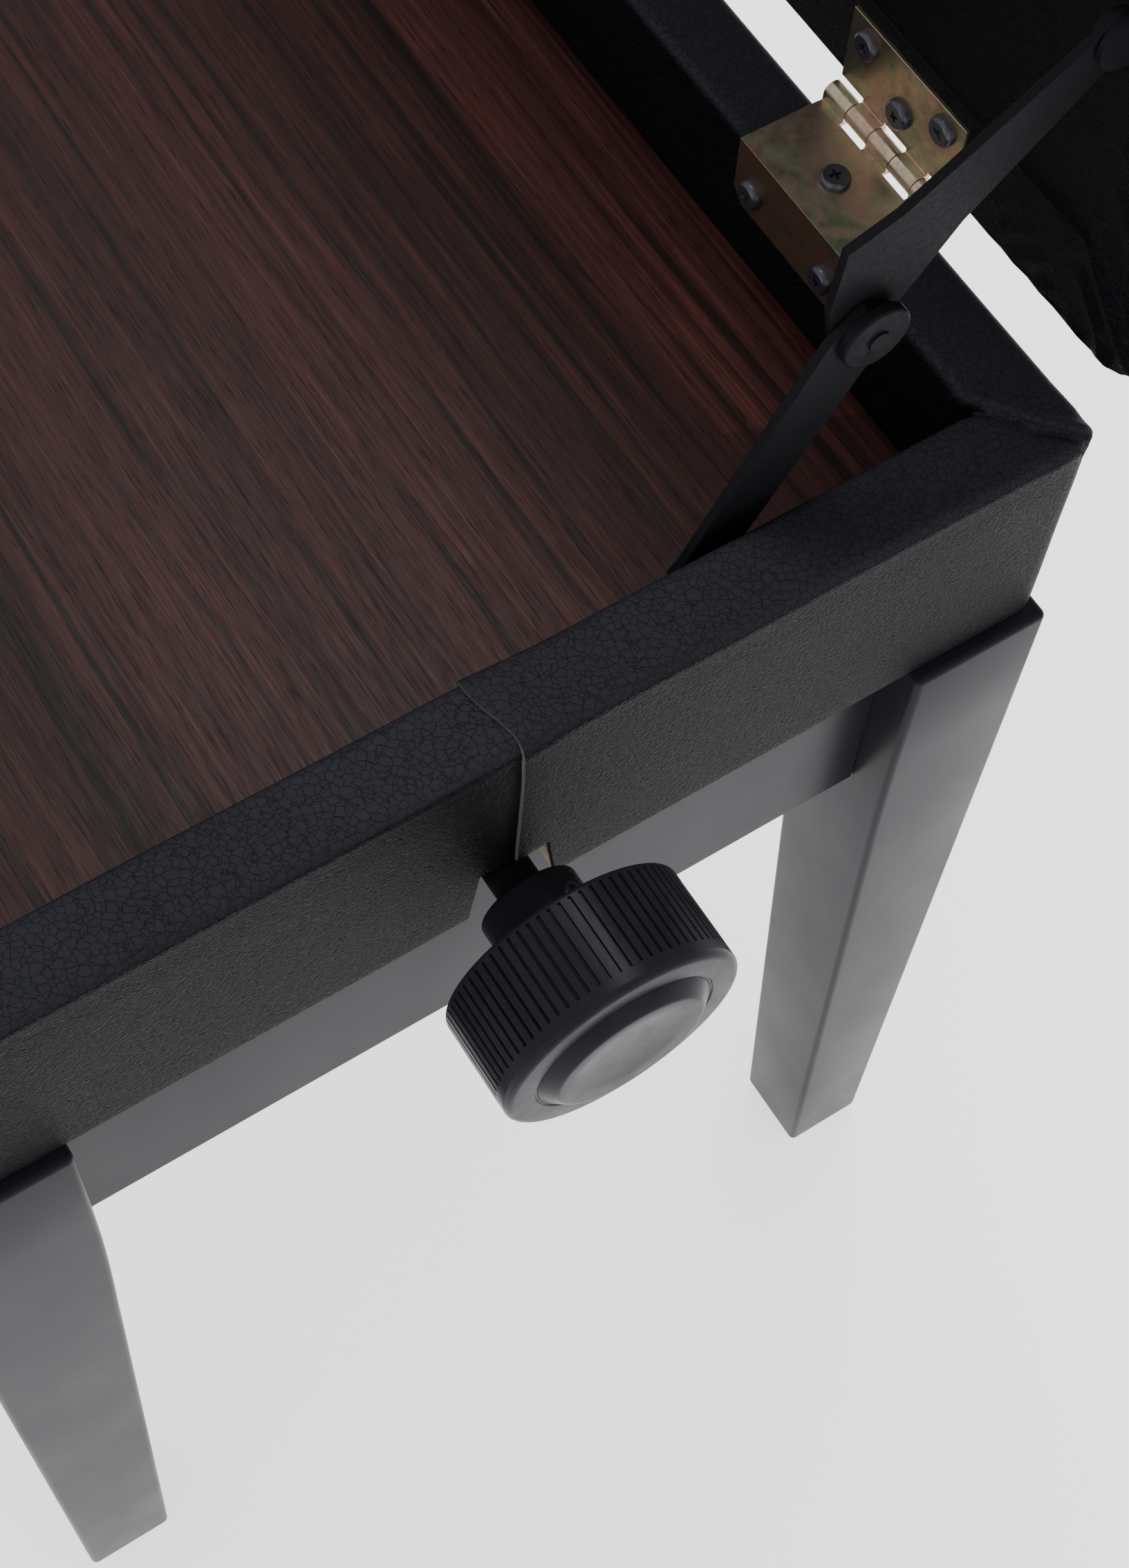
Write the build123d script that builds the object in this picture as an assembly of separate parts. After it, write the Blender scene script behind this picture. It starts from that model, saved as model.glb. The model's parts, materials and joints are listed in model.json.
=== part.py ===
"""Height-adjustable piano bench with a hinged padded lid over a storage box.

Row frame: X along the bench, +Y towards the lid hinges, +Z up, floor at Z = 0. The model is
drawn about the middle of the base and moved at export to the middle of its outline. The bench
is stored lowered, with its lid open at a right angle. Millimetres.
"""
from build123d import *
from math import asin, cos, degrees, hypot, radians, sin
import os

# Storage box
BOX_LENGTH = 550.0
BOX_DEPTH = 320.0
BOX_BOTTOM = 361.5
WALL_HEIGHT = 73.5
BOARD = 18.0
SKIN = 2.25
CORNER_RADIUS = 8.0
STORAGE_DEPTH = 40.0
FLOOR_PANEL = 9.0

# Legs and aprons
LEG_GAP = 1.0
LEG_SIDE = 41.0
LEG_FOOT_SIDE = 29.0
LEG_PROUD = 3.4
LEG_EDGE = 1.5
GLIDE_HEIGHT = 2.0
APRON_HEIGHT = 71.5
APRON_THICKNESS = 18.0
APRON_INSET = 13.0
TAPER_BLEND_RADIUS = 500.0
BRACE_DROP = 27.5

# Lift
LIFT_TRAVEL = 80.0
SPINDLE_ABOVE_LEGS = 11.5
SPINDLE_RADIUS = 6.0
ARM_SHARE = 0.6
ARM_WIDTH = 18.0
ARM_THICKNESS = 3.0
ARM_GAP = 1.0
LOWER_PIN_DROP = 15.5
UPPER_PIN_DROP = 12.0
PIN_RADIUS = 4.0
SLOT_SPARE = 3.0
CENTRE_PLAY = 2.6
SLOT_PLAY = 0.8
RAIL_THICKNESS = 3.0
RUNNING_FIT = 0.05

# Knobs
KNOB_RADIUS = 32.0
KNOB_LENGTH = 27.5
KNOB_STANDOFF = 21.0
KNOB_EDGE = 3.0
BOSS_RADIUS = 13.0
BOSS_LENGTH = 15.0
FACE_BASE_RADIUS = 23.5
FACE_TOP_RADIUS = 20.0
FACE_RISE = 3.0

# Lid
LID_OVERHANG = 2.5
LID_THICKNESS = 55.0
LID_BOARD = 12.0
LID_CLOSED_GAP = 6.8
LID_EDGE = 16.0
COVER = 3.0
BORDER = 31.0
LINING = 1.0

# Hinges
LEAF = 1.2
HINGE_SETBACK = 116.0
KNUCKLE = 9.0
KNUCKLES = 5
KNUCKLE_RADIUS = 2.8
HINGE_PIN_RADIUS = 1.1
PIN_BEHIND_BOX = 3.5
FLANGE_HEIGHT = 20.0
SLOT_WIDTH = 1.0
SCREW_HEAD_RADIUS = 4.0
SCREW_HEAD_HEIGHT = 2.0
SCREW_SHANK_RADIUS = 1.7

# Lid stays, pivots as distances in front of the hinge pin and above the rim
STAY_WALL_REACH = (98.0, -21.0)
STAY_MIDDLE_REACH = (59.5, 47.5)
STAY_LID_REACH = (5.5, 105.0)
STAY_THICKNESS = 2.4
STAY_GAP = 0.4
STAY_WIDTH = 15.0
STAY_DISC_RADIUS = 8.8

# Derived
HALF_LENGTH = BOX_LENGTH / 2
HALF_DEPTH = BOX_DEPTH / 2
RIM_TOP = BOX_BOTTOM + WALL_HEIGHT
INNER_X = HALF_LENGTH - BOARD - 2 * SKIN
INNER_Y = HALF_DEPTH - BOARD - 2 * SKIN
FLOOR_TOP = RIM_TOP - STORAGE_DEPTH
PANEL_BOTTOM = FLOOR_TOP - FLOOR_PANEL
LEG_TOP = BOX_BOTTOM - LEG_GAP
LEG_OUTER_X = HALF_LENGTH + LEG_PROUD
LEG_OUTER_Y = HALF_DEPTH
APRON_BOTTOM = LEG_TOP - APRON_HEIGHT
APRON_OUTER_X = LEG_OUTER_X - APRON_INSET
APRON_OUTER_Y = LEG_OUTER_Y - APRON_INSET
APRON_INNER_X = APRON_OUTER_X - APRON_THICKNESS
APRON_INNER_Y = APRON_OUTER_Y - APRON_THICKNESS
KNOB_BACK = HALF_LENGTH + KNOB_STANDOFF
PIN_Y = HALF_DEPTH + PIN_BEHIND_BOX
PIN_Z = RIM_TOP + LID_CLOSED_GAP / 2
HINGE_START = HALF_LENGTH - HINGE_SETBACK
LID_BOTTOM = RIM_TOP + LID_CLOSED_GAP
LID_HALF_LENGTH = HALF_LENGTH + LID_OVERHANG
LID_HALF_DEPTH = HALF_DEPTH + LID_OVERHANG
LID_OPEN_BACK = PIN_Y + LID_BOTTOM + LID_THICKNESS - PIN_Z
ORIGIN_Y = (LID_OPEN_BACK - HALF_DEPTH) / 2
STAY_WALL_PIVOT, STAY_MIDDLE_PIVOT, STAY_LID_PIVOT = (
    (PIN_Y - reach, RIM_TOP + rise)
    for reach, rise in (STAY_WALL_REACH, STAY_MIDDLE_REACH, STAY_LID_REACH)
)

# Planes of the scissor mechanism, measured outwards from the middle of the bench
RAIL_BAR = 4.0
RAIL_IN = APRON_INNER_Y - RAIL_BAR
ARM_B_IN = RAIL_IN - RAIL_THICKNESS - ARM_THICKNESS
ARM_A_IN = ARM_B_IN - ARM_GAP - ARM_THICKNESS
UPPER_RAIL_IN = ARM_A_IN - RAIL_THICKNESS - RAIL_THICKNESS
UPPER_FLANGE = 24.0

SPINDLE_HEIGHT = LEG_TOP + SPINDLE_ABOVE_LEGS
LOWER_PIN_HEIGHT = LEG_TOP - LOWER_PIN_DROP
UPPER_PIN_HEIGHT = PANEL_BOTTOM - UPPER_PIN_DROP
ARM_LENGTH = ARM_SHARE * BOX_LENGTH
ARM_ANGLE_LOW = degrees(asin((UPPER_PIN_HEIGHT - LOWER_PIN_HEIGHT) / ARM_LENGTH))
ARM_ANGLE_HIGH = degrees(asin((UPPER_PIN_HEIGHT - LOWER_PIN_HEIGHT + LIFT_TRAVEL) / ARM_LENGTH))
PIN_X_LOW = ARM_LENGTH / 2 * cos(radians(ARM_ANGLE_LOW))
PIN_X_HIGH = ARM_LENGTH / 2 * cos(radians(ARM_ANGLE_HIGH))
PIN_SLOT_IN = PIN_X_HIGH - SLOT_SPARE
PIN_SLOT_OUT = PIN_X_LOW + SLOT_SPARE


def block(x0, x1, y0, y1, z0, z1):
    """Box between two corners."""
    size = Box(x1 - x0, y1 - y0, z1 - z0)
    return Pos((x0 + x1) / 2, (y0 + y1) / 2, (z0 + z1) / 2) * size


def rod_x(radius, x0, x1, y, z):
    """Round bar along X."""
    return Pos((x0 + x1) / 2, y, z) * Rot(0, 90, 0) * Cylinder(radius, x1 - x0)


def rod_y(radius, y0, y1, x, z):
    """Round bar along Y."""
    return Pos(x, (y0 + y1) / 2, z) * Rot(90, 0, 0) * Cylinder(radius, y1 - y0)


def rod_z(radius, z0, z1, x, y):
    """Round bar along Z."""
    return Pos(x, y, (z0 + z1) / 2) * Cylinder(radius, z1 - z0)


def plate_x(points, x0, x1):
    """Flat plate between two X planes, its outline given as (Y, Z) points."""
    face = Plane.YZ * make_face(Polyline(*points, close=True))
    return Pos(x0, 0, 0) * extrude(face, x1 - x0)


def across(shape):
    """Mirror image at the other end of the bench."""
    return mirror(shape, about=Plane.YZ)


def behind(shape):
    """Mirror image at the other long side of the bench."""
    return mirror(shape, about=Plane.XZ)


def opened(shape):
    """Turn a lid piece from its closed place to its stored open place."""
    return Pos(0, PIN_Y, PIN_Z) * Rot(-90, 0, 0) * Pos(0, -PIN_Y, -PIN_Z) * shape


def screw(length, head_radius=SCREW_HEAD_RADIUS, shank_radius=SCREW_SHANK_RADIUS):
    """Pan-head screw, its head seated on Z = 0 and its shank pointing down."""
    head = Pos(0, 0, SCREW_HEAD_HEIGHT / 2) * Cylinder(head_radius, SCREW_HEAD_HEIGHT)
    head = fillet(head.edges().group_by(Axis.Z)[-1], 0.9)
    shank = Pos(0, 0, -length / 2) * Cylinder(shank_radius, length)
    return head + shank


def placed(shape, origin, direction):
    """Stand a shape's own Z axis along a direction at an origin."""
    return Plane(origin=origin, z_dir=direction) * shape


def save(name, *solids):
    """Write one sub-part, moved to the row origin."""
    moved = [Pos(0, -ORIGIN_Y, 0) * solid for solid in solids]
    shape = moved[0] if len(moved) == 1 else Compound(children=moved)
    export_step(shape, f"parts/{name}.step")


# ---------------------------------------------------------------- base

def leg_profile():
    """Side outline of a leg, outer face at 0, with its inner face tapering to the foot."""
    outline = Polyline(
        (0, GLIDE_HEIGHT), (0, LEG_TOP), (-LEG_SIDE, LEG_TOP),
        (-LEG_SIDE, APRON_BOTTOM), (-LEG_FOOT_SIDE, GLIDE_HEIGHT), close=True,
    )
    bend = outline.vertices().sort_by_distance((-LEG_SIDE, APRON_BOTTOM, 0))[0]
    return make_face(fillet(bend, TAPER_BLEND_RADIUS))


def leg():
    """Rear right leg: two crossed side outlines, with its long edges eased."""
    profile = leg_profile()
    along_x = Pos(LEG_OUTER_X, LEG_OUTER_Y, 0) * extrude(Plane.XZ * profile, LEG_SIDE)
    along_y = Pos(LEG_OUTER_X - LEG_SIDE, LEG_OUTER_Y, 0) * extrude(Plane.YZ * profile, LEG_SIDE)
    body = along_x & along_y
    return fillet(body.edges().filter_by(lambda edge: edge.length > LEG_SIDE + 1), LEG_EDGE)


LEG_INNER_X = LEG_OUTER_X - LEG_SIDE
LEG_INNER_Y = LEG_OUTER_Y - LEG_SIDE
BRACE_REACH = 46.0
BRACE_THICKNESS = 16.0
BRACE_TOP = LEG_TOP - BRACE_DROP
BRACE_HEIGHT = 38.0
HANGER_RADIUS = 4.0


def corner_brace():
    """Diagonal block across a corner of the aprons."""
    near = BRACE_REACH
    far = BRACE_REACH + BRACE_THICKNESS * 2 ** 0.5
    x, y = APRON_INNER_X, APRON_INNER_Y
    outline = Polyline((x, y - near), (x - near, y), (x - far, y), (x, y - far), close=True)
    return Pos(0, 0, BRACE_TOP - BRACE_HEIGHT) * extrude(make_face(outline), BRACE_HEIGHT)


def diagonal(shape, distance):
    """Put a shape on the leg's diagonal, at a distance inwards from the leg's inner corner."""
    step = distance / 2 ** 0.5
    origin = (LEG_INNER_X - step, LEG_INNER_Y - step, BRACE_TOP - BRACE_HEIGHT / 2)
    return placed(shape, origin, (-1, -1, 0))


def hanger_bolt():
    """Stud from the leg through the brace."""
    length = 82.0
    return diagonal(Pos(0, 0, length / 2 - 22) * Cylinder(HANGER_RADIUS, length), 0)


def hanger_nut():
    """Hexagon nut on its washer against the brace."""
    corner = LEG_INNER_X + LEG_INNER_Y
    face = APRON_INNER_X + APRON_INNER_Y - BRACE_REACH - BRACE_THICKNESS * 2 ** 0.5
    washer = Pos(0, 0, 0.8) * Cylinder(9.0, 1.6)
    nut = Pos(0, 0, 1.6) * extrude(RegularPolygon(7.5, 6), 6.5)
    hole = Cylinder(HANGER_RADIUS, 40)
    return diagonal(washer + nut - hole, (corner - face) / 2 ** 0.5)


def foot_glide():
    """Nylon disc under a leg."""
    x = LEG_OUTER_X - LEG_FOOT_SIDE / 2
    y = LEG_OUTER_Y - LEG_FOOT_SIDE / 2
    disc = rod_z(10.0, 0, GLIDE_HEIGHT, x, y)
    return fillet(disc.edges().group_by(Axis.Z)[0], 0.8)


LOWER_RAIL_END = PIN_X_LOW + 12.0
LOWER_RAIL_BOTTOM = LOWER_PIN_HEIGHT - 15.0
LOWER_RAIL_TOP = LOWER_PIN_HEIGHT + 13.0
BASE_SCREW_LENGTH = 14.0
LOWER_RAIL_SCREWS = (-110.0, -20.0, 20.0, 110.0)


def slot_y(half_height, y0, y1, z):
    """Round-ended slot cutter over the travel of a scissor pin on the +X side."""
    middle = block(PIN_SLOT_IN, PIN_SLOT_OUT, y0, y1, z - half_height, z + half_height)
    ends = [rod_y(half_height, y0, y1, x, z) for x in (PIN_SLOT_IN, PIN_SLOT_OUT)]
    return middle + ends[0] + ends[1]


def lower_rail():
    """Rear flat rail on the long apron, with a slot at each end for the nut-bar pins."""
    rail = block(-LOWER_RAIL_END, LOWER_RAIL_END, RAIL_IN, APRON_INNER_Y,
                 LOWER_RAIL_BOTTOM, LOWER_RAIL_TOP)
    cutter = slot_y(PIN_RADIUS + 0.15, RAIL_IN - 1, APRON_INNER_Y + 1, LOWER_PIN_HEIGHT)
    return rail - cutter - across(cutter)


BRACKET_THICKNESS = 3.0
BRACKET_HALF_WIDTH = 19.0
BRACKET_TOP = PANEL_BOTTOM - 2.0
BUSH_RADIUS = 8.5
BUSH_FLANGE = 1.5


def bearing_bracket():
    """Right upright plate on the end apron that carries the spindle bush."""
    outer = APRON_INNER_X
    plate = block(outer - BRACKET_THICKNESS, outer, -BRACKET_HALF_WIDTH, BRACKET_HALF_WIDTH,
                  APRON_BOTTOM + 8, BRACKET_TOP)
    plate = fillet(plate.edges().filter_by(Axis.X), 5.0)
    return plate - rod_x(BUSH_RADIUS, outer - 10, outer + 10, 0, SPINDLE_HEIGHT)


def bearing_bush():
    """Right flanged bush in the bearing bracket."""
    outer = APRON_INNER_X
    sleeve = rod_x(BUSH_RADIUS, outer - BRACKET_THICKNESS, outer + 1.0, 0, SPINDLE_HEIGHT)
    flange = rod_x(BUSH_RADIUS + 2, outer - BRACKET_THICKNESS - BUSH_FLANGE,
                   outer - BRACKET_THICKNESS, 0, SPINDLE_HEIGHT)
    bore = rod_x(SPINDLE_RADIUS + RUNNING_FIT, outer - 10, outer + 10, 0, SPINDLE_HEIGHT)
    return sleeve + flange - bore


def base_screws():
    """Screws that hold the lower rails and the bearing brackets to the aprons."""
    rail_screw = screw(BASE_SCREW_LENGTH)
    found = []
    for x in LOWER_RAIL_SCREWS:
        rear = placed(rail_screw, (x, RAIL_IN, LOWER_RAIL_BOTTOM + 6), (0, -1, 0))
        found += [rear, behind(rear)]
    for y in (-11.0, 11.0):
        origin = (APRON_INNER_X - BRACKET_THICKNESS, y, APRON_BOTTOM + 22)
        right = placed(rail_screw, origin, (-1, 0, 0))
        found += [right, across(right)]
    return found


def build_base():
    """Legs, aprons, braces, rails and bearings, all fixed together."""
    screws = base_screws()
    bolts = [hanger_bolt()]
    bolts += [across(bolts[0])]
    bolts += [behind(bolt) for bolt in bolts]
    nuts = [hanger_nut()]
    nuts += [across(nuts[0])]
    nuts += [behind(nut) for nut in nuts]
    save("leg_bolts_and_nuts", *bolts, *nuts)
    save("base_screws", *screws)

    legs = {"leg_rear_right": leg()}
    legs["leg_rear_left"] = across(legs["leg_rear_right"])
    legs["leg_front_right"] = behind(legs["leg_rear_right"])
    legs["leg_front_left"] = behind(legs["leg_rear_left"])
    for name, body in legs.items():
        save(name, body.cut(*bolts).solid())

    long_apron = block(-LEG_INNER_X, LEG_INNER_X, APRON_INNER_Y, APRON_OUTER_Y,
                       APRON_BOTTOM, LEG_TOP)
    end_apron = block(APRON_INNER_X, APRON_OUTER_X, -LEG_INNER_Y, LEG_INNER_Y,
                      APRON_BOTTOM, LEG_TOP)
    aprons = {
        "apron_rear": long_apron, "apron_front": behind(long_apron),
        "apron_right": end_apron, "apron_left": across(end_apron),
    }
    for name, body in aprons.items():
        save(name, body.cut(*screws).solid())

    brace = corner_brace().cut(bolts[0]).solid()
    braces = [brace, across(brace)]
    save("corner_braces", *braces, *[behind(body) for body in braces])

    glides = [foot_glide()]
    glides += [across(glides[0])]
    save("foot_glides", *glides, *[behind(body) for body in glides])

    rail = lower_rail().cut(*screws).solid()
    save("lower_rail_rear", rail)
    save("lower_rail_front", lower_rail().mirror(Plane.XZ).cut(*screws).solid())

    bracket = bearing_bracket().cut(*screws).solid()
    save("bearing_brackets", bracket, across(bracket))
    save("bearing_bushes", bearing_bush(), across(bearing_bush()))


# ---------------------------------------------------------------- spindle

COLLAR_LENGTH = 8.0
COLLAR_RADIUS = 10.0
SET_SCREW_RADIUS = 2.5


def knob():
    """Right hand knob: a drum with a raised round face and a boss behind it."""
    drum = rod_x(KNOB_RADIUS, KNOB_BACK, KNOB_BACK + KNOB_LENGTH, 0, SPINDLE_HEIGHT)
    drum = fillet(drum.edges().group_by(Axis.X)[-1], KNOB_EDGE)
    drum = chamfer(drum.edges().group_by(Axis.X)[0], 0.8)
    boss = rod_x(BOSS_RADIUS, KNOB_BACK - BOSS_LENGTH, KNOB_BACK + 1, 0, SPINDLE_HEIGHT)
    front = Plane(origin=(KNOB_BACK + KNOB_LENGTH, 0, SPINDLE_HEIGHT), z_dir=(1, 0, 0))
    face = loft([front * Circle(FACE_BASE_RADIUS),
                 front.offset(FACE_RISE) * Circle(FACE_TOP_RADIUS)])
    bore = rod_x(SPINDLE_RADIUS, KNOB_BACK - 20, KNOB_BACK + 18, 0, SPINDLE_HEIGHT)
    return drum + boss + face - bore


def knob_set_screw():
    """Right hand set screw, radial in the knob's boss."""
    x = KNOB_BACK - BOSS_LENGTH / 2
    length = BOSS_RADIUS - SPINDLE_RADIUS - 1.0
    pin = Pos(0, 0, SPINDLE_RADIUS + length / 2) * Cylinder(SET_SCREW_RADIUS, length)
    return placed(pin, (x, 0, SPINDLE_HEIGHT), (0, sin(radians(35)), cos(radians(35))))


def collar():
    """Right hand shaft collar against the bush, which keeps the spindle in place endways."""
    outer = APRON_INNER_X - BRACKET_THICKNESS - BUSH_FLANGE - 0.3
    ring = rod_x(COLLAR_RADIUS, outer - COLLAR_LENGTH, outer, 0, SPINDLE_HEIGHT)
    return ring - rod_x(SPINDLE_RADIUS, outer - 20, outer + 5, 0, SPINDLE_HEIGHT)


def build_spindle():
    """Spindle with a left-hand and a right-hand thread, and what is fixed to it."""
    reach = KNOB_BACK + 18
    shaft = rod_x(SPINDLE_RADIUS, -reach, reach, 0, SPINDLE_HEIGHT)
    save("spindle", shaft)
    set_screw = knob_set_screw()
    body = knob().cut(set_screw).solid()
    save("knob_right", body)
    save("knob_left", across(body))
    save("knob_set_screws", set_screw, across(set_screw))
    save("shaft_collars", collar(), across(collar()))


# ---------------------------------------------------------------- scissor lift

NUT_BAR_SIDE = 16.0
NUT_HALF_WIDTH = 15.0
NUT_TOP = PANEL_BOTTOM - 3.0
RIVET_HEAD = 1.6


def nut_bar():
    """Right cross bar: a nut block on the spindle, with a turned pin at each end."""
    bar_end = UPPER_RAIL_IN
    half = NUT_BAR_SIDE / 2
    bar = block(PIN_X_LOW - half, PIN_X_LOW + half, -bar_end, bar_end,
                LOWER_PIN_HEIGHT - half, LOWER_PIN_HEIGHT + half)
    nut = block(PIN_X_LOW - half, PIN_X_LOW + half, -NUT_HALF_WIDTH, NUT_HALF_WIDTH,
                LOWER_PIN_HEIGHT, NUT_TOP)
    pins = rod_y(PIN_RADIUS, -APRON_INNER_Y + 0.5, APRON_INNER_Y - 0.5,
                 PIN_X_LOW, LOWER_PIN_HEIGHT)
    bore = rod_x(SPINDLE_RADIUS + RUNNING_FIT, PIN_X_LOW - 20, PIN_X_LOW + 20,
                 0, SPINDLE_HEIGHT)
    return bar + nut + pins - bore


def scissor_arm(y0, lower_x, upper_x, centre_radius):
    """Flat bar with round ends and three holes, between its lower and upper pins."""
    y1 = y0 + ARM_THICKNESS
    lower = (lower_x, LOWER_PIN_HEIGHT)
    upper = (upper_x, UPPER_PIN_HEIGHT)
    middle = ((lower_x + upper_x) / 2, (LOWER_PIN_HEIGHT + UPPER_PIN_HEIGHT) / 2)
    angle = ARM_ANGLE_LOW if lower_x > upper_x else -ARM_ANGLE_LOW
    web = Pos(middle[0], (y0 + y1) / 2, middle[1]) * Rot(0, angle, 0)
    arm = web * Box(ARM_LENGTH, ARM_THICKNESS, ARM_WIDTH)
    for x, z in (lower, upper):
        arm += rod_y(ARM_WIDTH / 2, y0, y1, x, z)
    for (x, z), radius in ((lower, PIN_RADIUS + RUNNING_FIT), (upper, PIN_RADIUS),
                           (middle, centre_radius)):
        arm -= rod_y(radius, y0 - 1, y1 + 1, x, z)
    return arm


def upper_pin(arm_in, x):
    """Rivet through an arm's upper end into the slot of the upper rail."""
    outer = arm_in + ARM_THICKNESS
    shank = rod_y(PIN_RADIUS, UPPER_RAIL_IN - 0.5, outer, x, UPPER_PIN_HEIGHT)
    inner_head = rod_y(PIN_RADIUS + 3, UPPER_RAIL_IN - 0.4 - RIVET_HEAD, UPPER_RAIL_IN - 0.4,
                       x, UPPER_PIN_HEIGHT)
    outer_head = rod_y(PIN_RADIUS + 2, outer, outer + RIVET_HEAD, x, UPPER_PIN_HEIGHT)
    return shank + inner_head + outer_head


def centre_rivet():
    """Rivet through the crossing of a rear pair of arms."""
    z = (LOWER_PIN_HEIGHT + UPPER_PIN_HEIGHT) / 2
    head_in = ARM_A_IN - RIVET_HEAD
    head_out = ARM_B_IN + ARM_THICKNESS + 0.3
    shank = rod_y(PIN_RADIUS, head_in, head_out + RIVET_HEAD, 0, z)
    heads = [rod_y(PIN_RADIUS + 4.5, y, y + RIVET_HEAD, 0, z) for y in (head_in, head_out)]
    return shank + heads[0] + heads[1]


def build_scissors():
    """Nut bars and the two crossed pairs of arms."""
    save("nut_bar_right", nut_bar())
    save("nut_bar_left", across(nut_bar()))
    arm_a = scissor_arm(ARM_A_IN, -PIN_X_LOW, PIN_X_LOW, PIN_RADIUS)
    arm_b = scissor_arm(ARM_B_IN, PIN_X_LOW, -PIN_X_LOW, PIN_RADIUS + CENTRE_PLAY)
    save("arm_a_rear", arm_a)
    save("arm_a_front", behind(arm_a))
    save("arm_b_rear", arm_b)
    save("arm_b_front", behind(arm_b))
    rivets_a = [upper_pin(ARM_A_IN, PIN_X_LOW), centre_rivet()]
    save("arm_a_rivets", *rivets_a, *[behind(rivet) for rivet in rivets_a])
    rivet_b = upper_pin(ARM_B_IN, -PIN_X_LOW)
    save("arm_b_rivets", rivet_b, behind(rivet_b))


# ---------------------------------------------------------------- box

NOTCH_TOP = SPINDLE_HEIGHT + 11.0
NOTCH_HALF_BOTTOM = 12.5
NOTCH_HALF_TOP = 9.5
CLEAT = 12.0
UPPER_RAIL_END = PIN_X_LOW + 14.0
UPPER_RAIL_BOTTOM = BOX_BOTTOM + 1.0
UPPER_RAIL_SCREWS = (-140.0, -50.0, 50.0, 140.0)


def notch():
    """Cutter for the opening in the end walls that straddles the spindle."""
    outline = [
        (-NOTCH_HALF_BOTTOM, BOX_BOTTOM - 1), (NOTCH_HALF_BOTTOM, BOX_BOTTOM - 1),
        (NOTCH_HALF_TOP, NOTCH_TOP), (-NOTCH_HALF_TOP, NOTCH_TOP),
    ]
    return plate_x(outline, -HALF_LENGTH - 5, HALF_LENGTH + 5)


def box_cover():
    """Leatherette skin over the rim, the outside and the inside of the walls."""
    outer = block(-HALF_LENGTH, HALF_LENGTH, -HALF_DEPTH, HALF_DEPTH, BOX_BOTTOM, RIM_TOP)
    outer = fillet(outer.edges().filter_by(Axis.Z), CORNER_RADIUS)
    outer = fillet(outer.edges().group_by(Axis.Z)[-1], SKIN)
    inside = block(-INNER_X, INNER_X, -INNER_Y, INNER_Y, BOX_BOTTOM - 1, RIM_TOP + 1)
    x, y = HALF_LENGTH - SKIN, HALF_DEPTH - SKIN
    boards = block(-x, x, -y, y, BOX_BOTTOM, RIM_TOP - SKIN)
    boards = fillet(boards.edges().filter_by(Axis.Z), CORNER_RADIUS - SKIN)
    boards -= block(-INNER_X - SKIN, INNER_X + SKIN, -INNER_Y - SKIN, INNER_Y + SKIN,
                    FLOOR_TOP, RIM_TOP)
    return outer - inside - boards - notch()


def long_wall():
    """Rear wall board."""
    x, y = HALF_LENGTH - SKIN, HALF_DEPTH - SKIN
    board = block(-x, x, y - BOARD, y, BOX_BOTTOM, RIM_TOP - SKIN)
    corners = board.edges().filter_by(Axis.Z).group_by(Axis.Y)[-1]
    return fillet(corners, CORNER_RADIUS - SKIN)


def end_wall():
    """Right wall board, notched for the spindle."""
    x, y = HALF_LENGTH - SKIN, HALF_DEPTH - SKIN - BOARD
    return block(x - BOARD, x, -y, y, BOX_BOTTOM, RIM_TOP - SKIN) - notch()


def floor_panel():
    """Storage floor, let in between the wall boards."""
    x, y = INNER_X + SKIN, INNER_Y + SKIN
    return block(-x, x, -y, y, PANEL_BOTTOM, FLOOR_TOP)


def floor_cleat():
    """Rear glue strip under the storage floor."""
    y = INNER_Y + SKIN
    reach = INNER_X - 25
    return block(-reach, reach, y - CLEAT, y, PANEL_BOTTOM - CLEAT, PANEL_BOTTOM)


def upper_rail():
    """Rear angle rail under the storage floor, slotted for the upper pins."""
    web = block(-UPPER_RAIL_END, UPPER_RAIL_END, UPPER_RAIL_IN, UPPER_RAIL_IN + RAIL_THICKNESS,
                UPPER_RAIL_BOTTOM, PANEL_BOTTOM)
    flange = block(-UPPER_RAIL_END, UPPER_RAIL_END,
                   UPPER_RAIL_IN + RAIL_THICKNESS - UPPER_FLANGE,
                   UPPER_RAIL_IN + RAIL_THICKNESS, PANEL_BOTTOM - RAIL_THICKNESS, PANEL_BOTTOM)
    cutter = slot_y(PIN_RADIUS + SLOT_PLAY, UPPER_RAIL_IN - 1,
                    UPPER_RAIL_IN + RAIL_THICKNESS + 1, UPPER_PIN_HEIGHT)
    return web + flange - cutter - across(cutter)


def upper_rail_screws():
    """Screws up through the rail flanges into the storage floor."""
    y = UPPER_RAIL_IN - 9
    found = []
    for x in UPPER_RAIL_SCREWS:
        rear = placed(screw(RAIL_THICKNESS + 7), (x, y, PANEL_BOTTOM - RAIL_THICKNESS), (0, 0, -1))
        found += [rear, behind(rear)]
    return found


def knuckle_ring(first, bore):
    """Every second knuckle of the right hinge, with the tab that joins it to its leaf."""
    pieces = []
    for index in range(first, KNUCKLES, 2):
        x0 = HINGE_START + index * KNUCKLE + 0.1
        x1 = x0 + KNUCKLE - 0.2
        pieces.append((x0, x1))
    rings = [rod_x(KNUCKLE_RADIUS, x0, x1, PIN_Y, PIN_Z) for x0, x1 in pieces]
    hole = rod_x(bore, HINGE_START - 5, HINGE_START + KNUCKLE * KNUCKLES + 5, PIN_Y, PIN_Z)
    return pieces, rings, hole


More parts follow.
